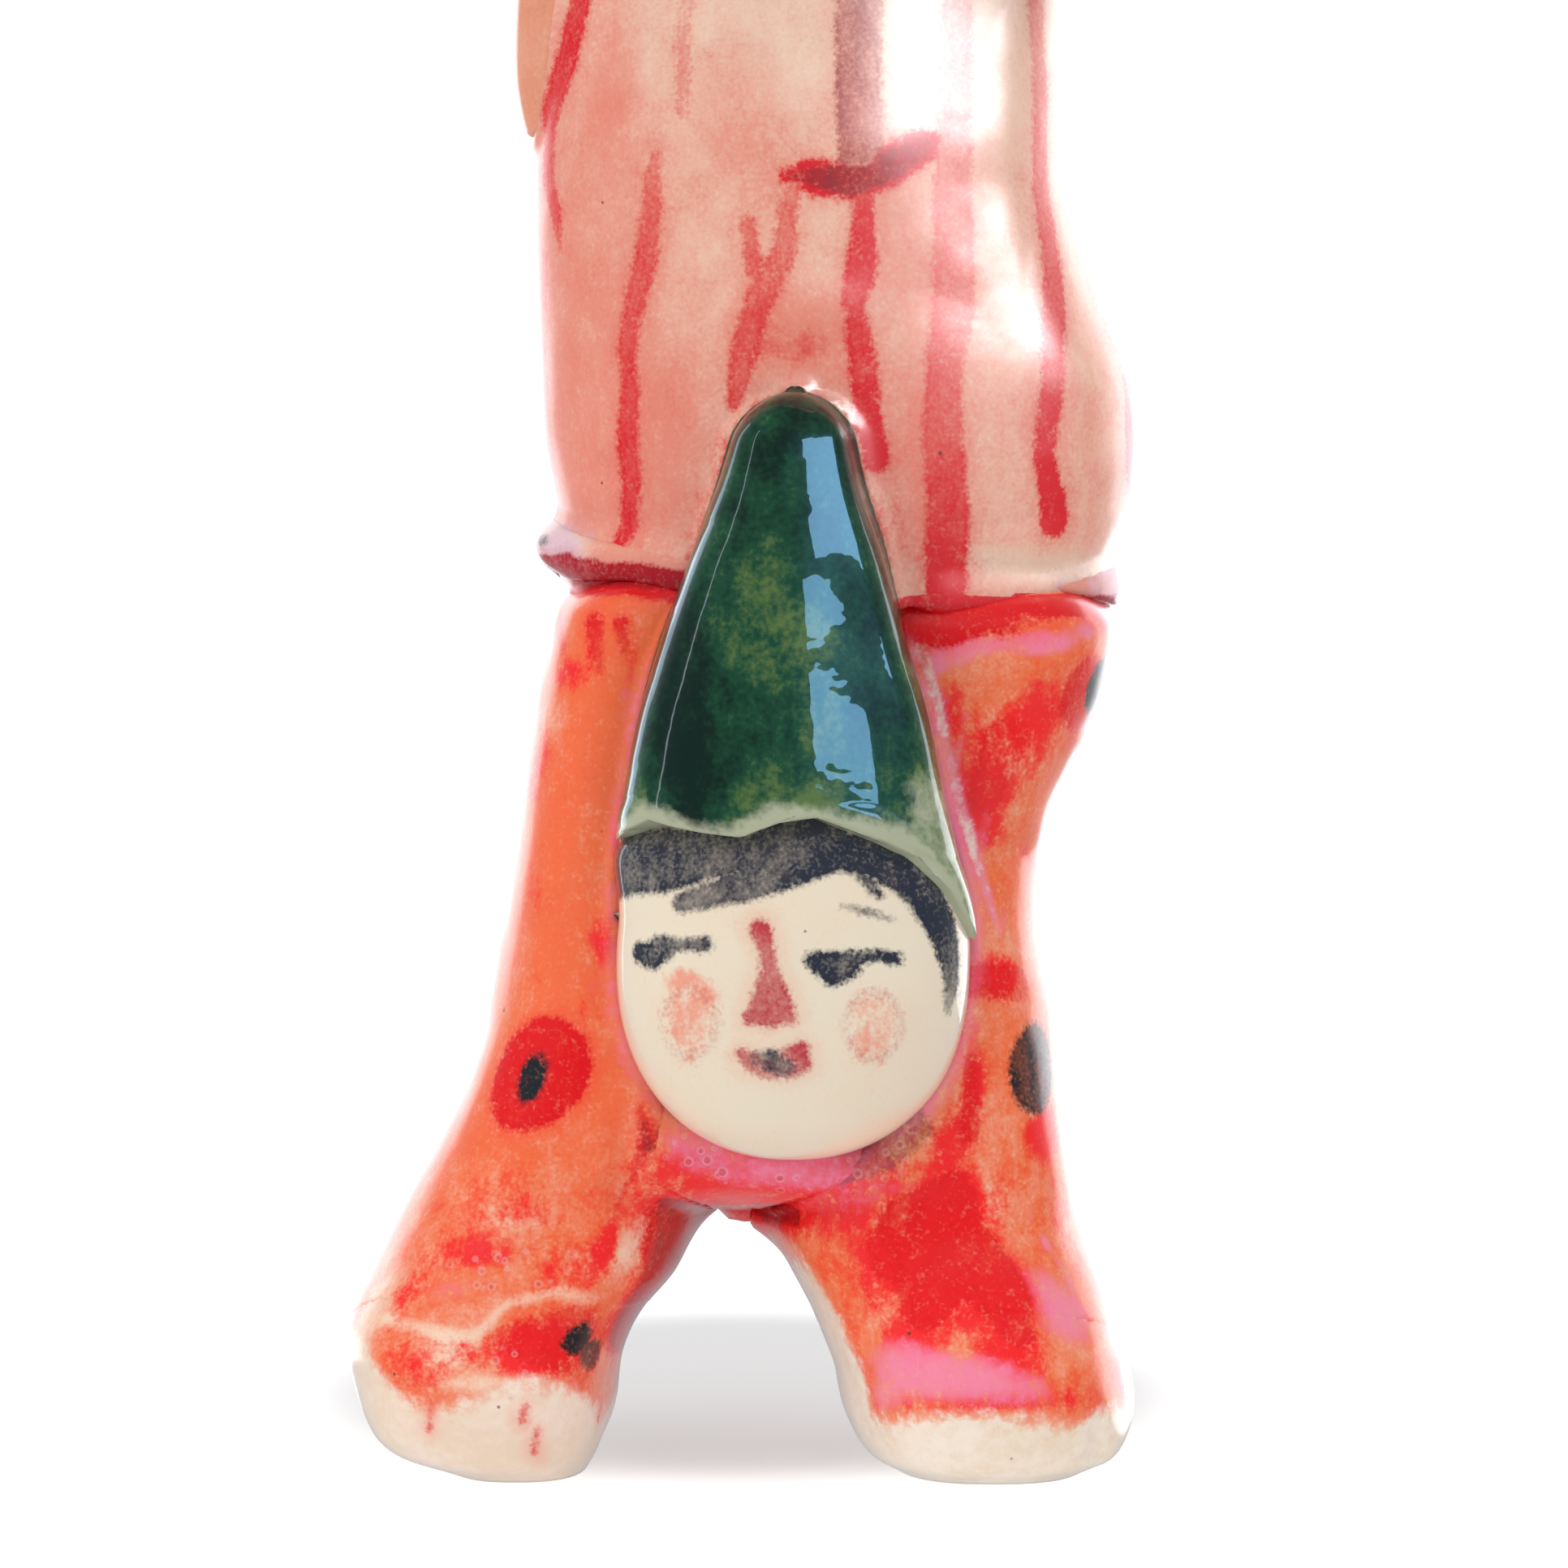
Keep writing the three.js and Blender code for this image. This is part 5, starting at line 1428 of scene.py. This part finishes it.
def collar_roll(glaze, angle, tube):
    """A ring of clay round the neck: circles carried round an oval. Its two edges of the grid meet."""
    x0, y0, _ = HEAD_CENTRE
    out = COLLAR["radius"] * np.cos(tube)[None, :]
    up = COLLAR["radius"] * np.sin(tube)[None, :]
    wave = 0.25 * np.sin(3 * angle + 1)[:, None]
    x = x0 + (COLLAR["across"] + out) * np.cos(angle)[:, None]
    y = y0 + (COLLAR["deep"] + out) * np.sin(angle)[:, None]
    points = np.stack([x, y, COLLAR["height"] + up + wave], -1)
    points = points + outward(np.concatenate([points, points[:1]]))[:-1] * (0.1 * unevenness(points, 2.4,
                                                                                             151))[..., None]
    rows, around = points.shape[:2]
    flat = points.reshape(-1, 3)
    r, q = np.meshgrid(np.arange(rows), np.arange(around), indexing="ij")
    after_r, after_q = (r + 1) % rows, (q + 1) % around
    quads = np.stack([r * around + q, after_r * around + q, after_r * around + after_q,
                      r * around + after_q], -1)
    mesh = bpy.data.meshes.new("collar_roll")
    mesh.from_pydata((flat * MM).tolist(), [], quads.reshape(-1, 4).tolist())
    mesh.polygons.foreach_set("use_smooth", np.ones(len(mesh.polygons), bool))
    paint = plain_paint(points)
    paint["wash"] += 0.4
    paint["lilac"] += 0.6
    for key, values in paint.items():
        mesh.attributes.new(key, "FLOAT", "POINT").data.foreach_set("value",
                                                                    values.ravel().astype(np.float32))
    mesh.materials.append(glaze)
    piece = bpy.data.objects.new("collar_roll", mesh)
    bpy.context.scene.collection.objects.link(piece)
    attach(piece, "root")
    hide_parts("collar_roll")


def build():
    """Mixes the glazes and makes every piece."""
    cream = colour(236, 216, 194)
    shared = dict(ink=colour(30, 40, 44), lilac=colour(206, 176, 196), bare=colour(230, 208, 184))
    trousers = brushed_glaze("trouser_glaze", colour(244, 206, 180), colour(238, 108, 62),
                             colour(243, 34, 36),
                             colour(222, 2, 16), grain=(1.0, 1.0, 2.6), patchy=0.85, gloss=0.2,
                             **{**shared, "lilac": colour(240, 136, 172)})
    cloth = brushed_glaze("tunic_wash", colour(240, 206, 182), colour(230, 134, 116), colour(226, 84, 74),
                          colour(220, 6, 30), gloss=0.26, **shared)
    hem = brushed_glaze("hem_pool", colour(234, 208, 190), colour(228, 150, 130), colour(196, 84, 96),
                        colour(170, 12, 34),
                        gloss=0.16, coat=0.6, **{**shared, "lilac": colour(222, 190, 208)})
    # The face paint's lilac is a blue-grey. It serves only as the painted shade on the small head's right side.
    skin = brushed_glaze("face_paint", colour(228, 217, 196), colour(232, 206, 176), colour(232, 158, 136),
                         colour(186, 58, 70),
                         patchy=0.25, gloss=0.06, grainy=0.15,
                         **{**shared, "ink": colour(44, 50, 64), "lilac": colour(150, 164, 180)})
    hands = brushed_glaze("hand_wash", colour(232, 186, 160), colour(226, 144, 114), colour(200, 110, 86),
                          colour(186, 58, 50),
                          **shared)
    green = hat_glaze("green_glaze")
    left_leg(trousers)
    right_leg(trousers)
    saddle(trousers)
    tunic(cloth)
    hem_roll(hem)
    small_hat(green)
    small_head(skin)
    upper_figure(skin, green, cloth, hands)


# ---------------------------------------------------------------- floor, light and camera


def floor():
    """A round white table top: a disc of concentric rings that glows, a painted light, enough that only a soft
    contact shadow shows; the glow is weaker over an oval round the feet and behind them, a painted shadow."""
    rings = np.array([0.0, 0.03, 0.08, 0.15, 0.25])
    turn = turns(64)
    points = np.stack([rings[1:, None] * np.sin(turn), -rings[1:, None] * np.cos(turn),
                       0 * rings[1:, None] * turn], -1)
    flat = np.concatenate([[[0, 0, 0]], points.reshape(-1, 3)])
    columns, after = np.arange(64), (np.arange(64) + 1) % 64
    faces = [(0, 1 + a, 1 + b) for a, b in zip(columns, after)]
    for ring in range(len(rings) - 2):
        base = 1 + ring * 64
        faces += [(base + a, base + 64 + a, base + 64 + b, base + b) for a, b in zip(columns, after)]
    mesh = bpy.data.meshes.new("table_top")
    mesh.from_pydata(flat.tolist(), [], faces)
    g = Glaze("table_paint", roughness=0.6, coat=0.0, coat_roughness=0.3)
    g.shader.inputs["Emission Color"].default_value = (1, 1, 1, 1)
    apart = g.nodes.new("ShaderNodeSeparateXYZ")
    g.links.new(g.millimetres, apart.inputs[0])
    across = g.sum("POWER", g.sum("ABSOLUTE", g.sum("MULTIPLY", apart.outputs[0], 1 / 26)), 2.0)
    along = g.sum("POWER",
                  g.sum("ABSOLUTE", g.sum("MULTIPLY", g.sum("SUBTRACT", apart.outputs[1], 27.0), 1 / 36)),
                  2.0)
    # Painted shadow: the glow falls from 0.9 to 0.5 over an oval round the figure's feet, centred 27 mm behind them.
    glow = g.step(g.sum("ADD", across, along), 0.45, 1.05, 0.5, 0.9)
    g.links.new(glow, g.shader.inputs["Emission Strength"])
    mesh.materials.append(g.finish(g.mix(g.step(g.noise(40, 2), -0.5, 0.5), colour(148, 148, 148),
                                         colour(154, 154, 154))))
    top = bpy.data.objects.new("table_top", mesh)
    bpy.context.scene.collection.objects.link(top)
    top.visible_glossy = False


def panel(name, azimuth, elevation, wide, high, radiance, seen_in=(), lights=False, distance=1.2):
    """A panel of light facing the figure's middle; angles and sizes in degrees, azimuth from the front
    towards the
    right. Either it lights the clay's colour, or it is mirrored in the glaze of the pieces named (or of them all)."""
    a, e = math.radians(azimuth), math.radians(elevation)
    back = Vector((math.sin(a) * math.cos(e), -math.cos(a) * math.cos(e), math.sin(e)))
    light = bpy.data.lights.new(name, "AREA")
    light.shape = "RECTANGLE"
    light.size, light.size_y = (2 * distance * math.tan(math.radians(size / 2)) for size in (wide, high))
    brightest = max(radiance)
    light.energy = brightest * math.pi * light.size * light.size_y
    light.color = [c / brightest for c in radiance]
    lamp = bpy.data.objects.new(name, light)
    lamp.location = back * distance + Vector((0, 0, 0.045))
    lamp.rotation_euler = back.to_track_quat("Z", "Y").to_euler()
    lamp.visible_camera, lamp.visible_glossy, lamp.visible_diffuse = False, not lights, lights
    bpy.context.scene.collection.objects.link(lamp)
    if seen_in:
        mirrors = bpy.data.collections.new(name + "_mirrors")
        for node in seen_in:
            mirrors.objects.link(PIECES[node])
        lamp.light_linking.receiver_collection = mirrors


def studio():
    """The panels of light that the glaze mirrors, each seen by some pieces only."""
    cloth = ("tunic", "left_arm", "right_arm")
    hats = ("small_hat", "hat")
    panel("window", 44, 23, 50, 9, (31, 32.5, 34), cloth)
    panel("right_glow", 112, 14, 36, 34, (1.8, 1.8, 1.8), cloth)
    panel("hat_window_high", 50, 25, 56, 11, (2.9, 6.2, 10.2), hats)
    panel("hat_window_low", 25, 10.5, 30, 5.5, (2.6, 5.8, 9.5), hats)
    panel("left_glint", -68, 25, 2.0, 40, (3.5, 4, 4.5), hats)
    panel("hat_edge", -130, 15, 26, 50, (1.5, 1.9, 2.4), hats)
    panel("right_wall", 142, 12, 56, 50, (2.5, 2.5, 2.6),
          [node for node in PIECES if node not in ("left_leg", "left_foot")])
    panel("left_wall", -152, 12, 44, 50, (1.6, 1.65, 1.7),
          [node for node in PIECES if node not in ("right_leg", "right_foot")])
    panel("sky", 25, 60, 90, 50, (1.5, 1.5, 1.5), (), True)
    panel("left_fill", -70, 25, 70, 60, (1.0, 0.98, 0.95), (), True)
    world = bpy.data.worlds.new("white_room")
    bpy.context.scene.world = world
    world.use_nodes = True
    nodes, links = world.node_tree.nodes, world.node_tree.links
    room = nodes["Background"]
    room.inputs["Color"].default_value = (1, 1, 1, 1)
    room.inputs["Strength"].default_value = 0.4
    seen, mirrored = nodes.new("ShaderNodeBackground"), nodes.new("ShaderNodeBackground")
    seen.inputs["Color"].default_value = (1, 1, 1, 1)
    seen.inputs["Strength"].default_value = 1.1
    mirrored.inputs["Color"].default_value = (0.93, 0.96, 1, 1)
    rays, way, apart = (nodes.new("ShaderNode" + kind) for kind in ("LightPath", "TexCoord", "SeparateXYZ"))
    behind = nodes.new("ShaderNodeMapRange")
    behind.interpolation_type = "SMOOTHSTEP"
    behind.inputs["From Min"].default_value, behind.inputs["From Max"].default_value = -0.1, 0.75
    behind.inputs["To Min"].default_value, behind.inputs["To Max"].default_value = 0.05, 0.5
    links.new(way.outputs["Generated"], apart.inputs[0])
    links.new(apart.outputs["Y"], behind.inputs["Value"])
    links.new(behind.outputs[0], mirrored.inputs["Strength"])
    first, second = nodes.new("ShaderNodeMixShader"), nodes.new("ShaderNodeMixShader")
    links.new(rays.outputs["Is Glossy Ray"], first.inputs[0])
    links.new(room.outputs[0], first.inputs[1])
    links.new(mirrored.outputs[0], first.inputs[2])
    links.new(rays.outputs["Is Camera Ray"], second.inputs[0])
    links.new(first.outputs[0], second.inputs[1])
    links.new(seen.outputs[0], second.inputs[2])
    links.new(second.outputs[0], nodes["World Output"].inputs[0])


def camera():
    """Close in, from the front and a little above, on the figure from its soles to its chest."""
    seen_width, distance, tilt = 0.0799, EYE_DISTANCE * MM, EYE_TILT
    target = Vector((EYE_ON[0], 0.0, EYE_ON[1])) * MM
    back = Vector((0, -math.cos(tilt), math.sin(tilt)))
    lens = bpy.data.cameras.new("close_up")
    lens.sensor_width = 36.0
    lens.lens = 36.0 * distance / seen_width
    lens.clip_start = 0.02
    eye = bpy.data.objects.new("close_up", lens)
    eye.location = target + back * distance
    eye.rotation_euler = back.to_track_quat("Z", "Y").to_euler()
    bpy.context.scene.collection.objects.link(eye)
    bpy.context.scene.camera = eye
    bpy.context.scene.view_settings.view_transform = "Standard"


build()
floor()
studio()
camera()
bpy.context.view_layer.update()
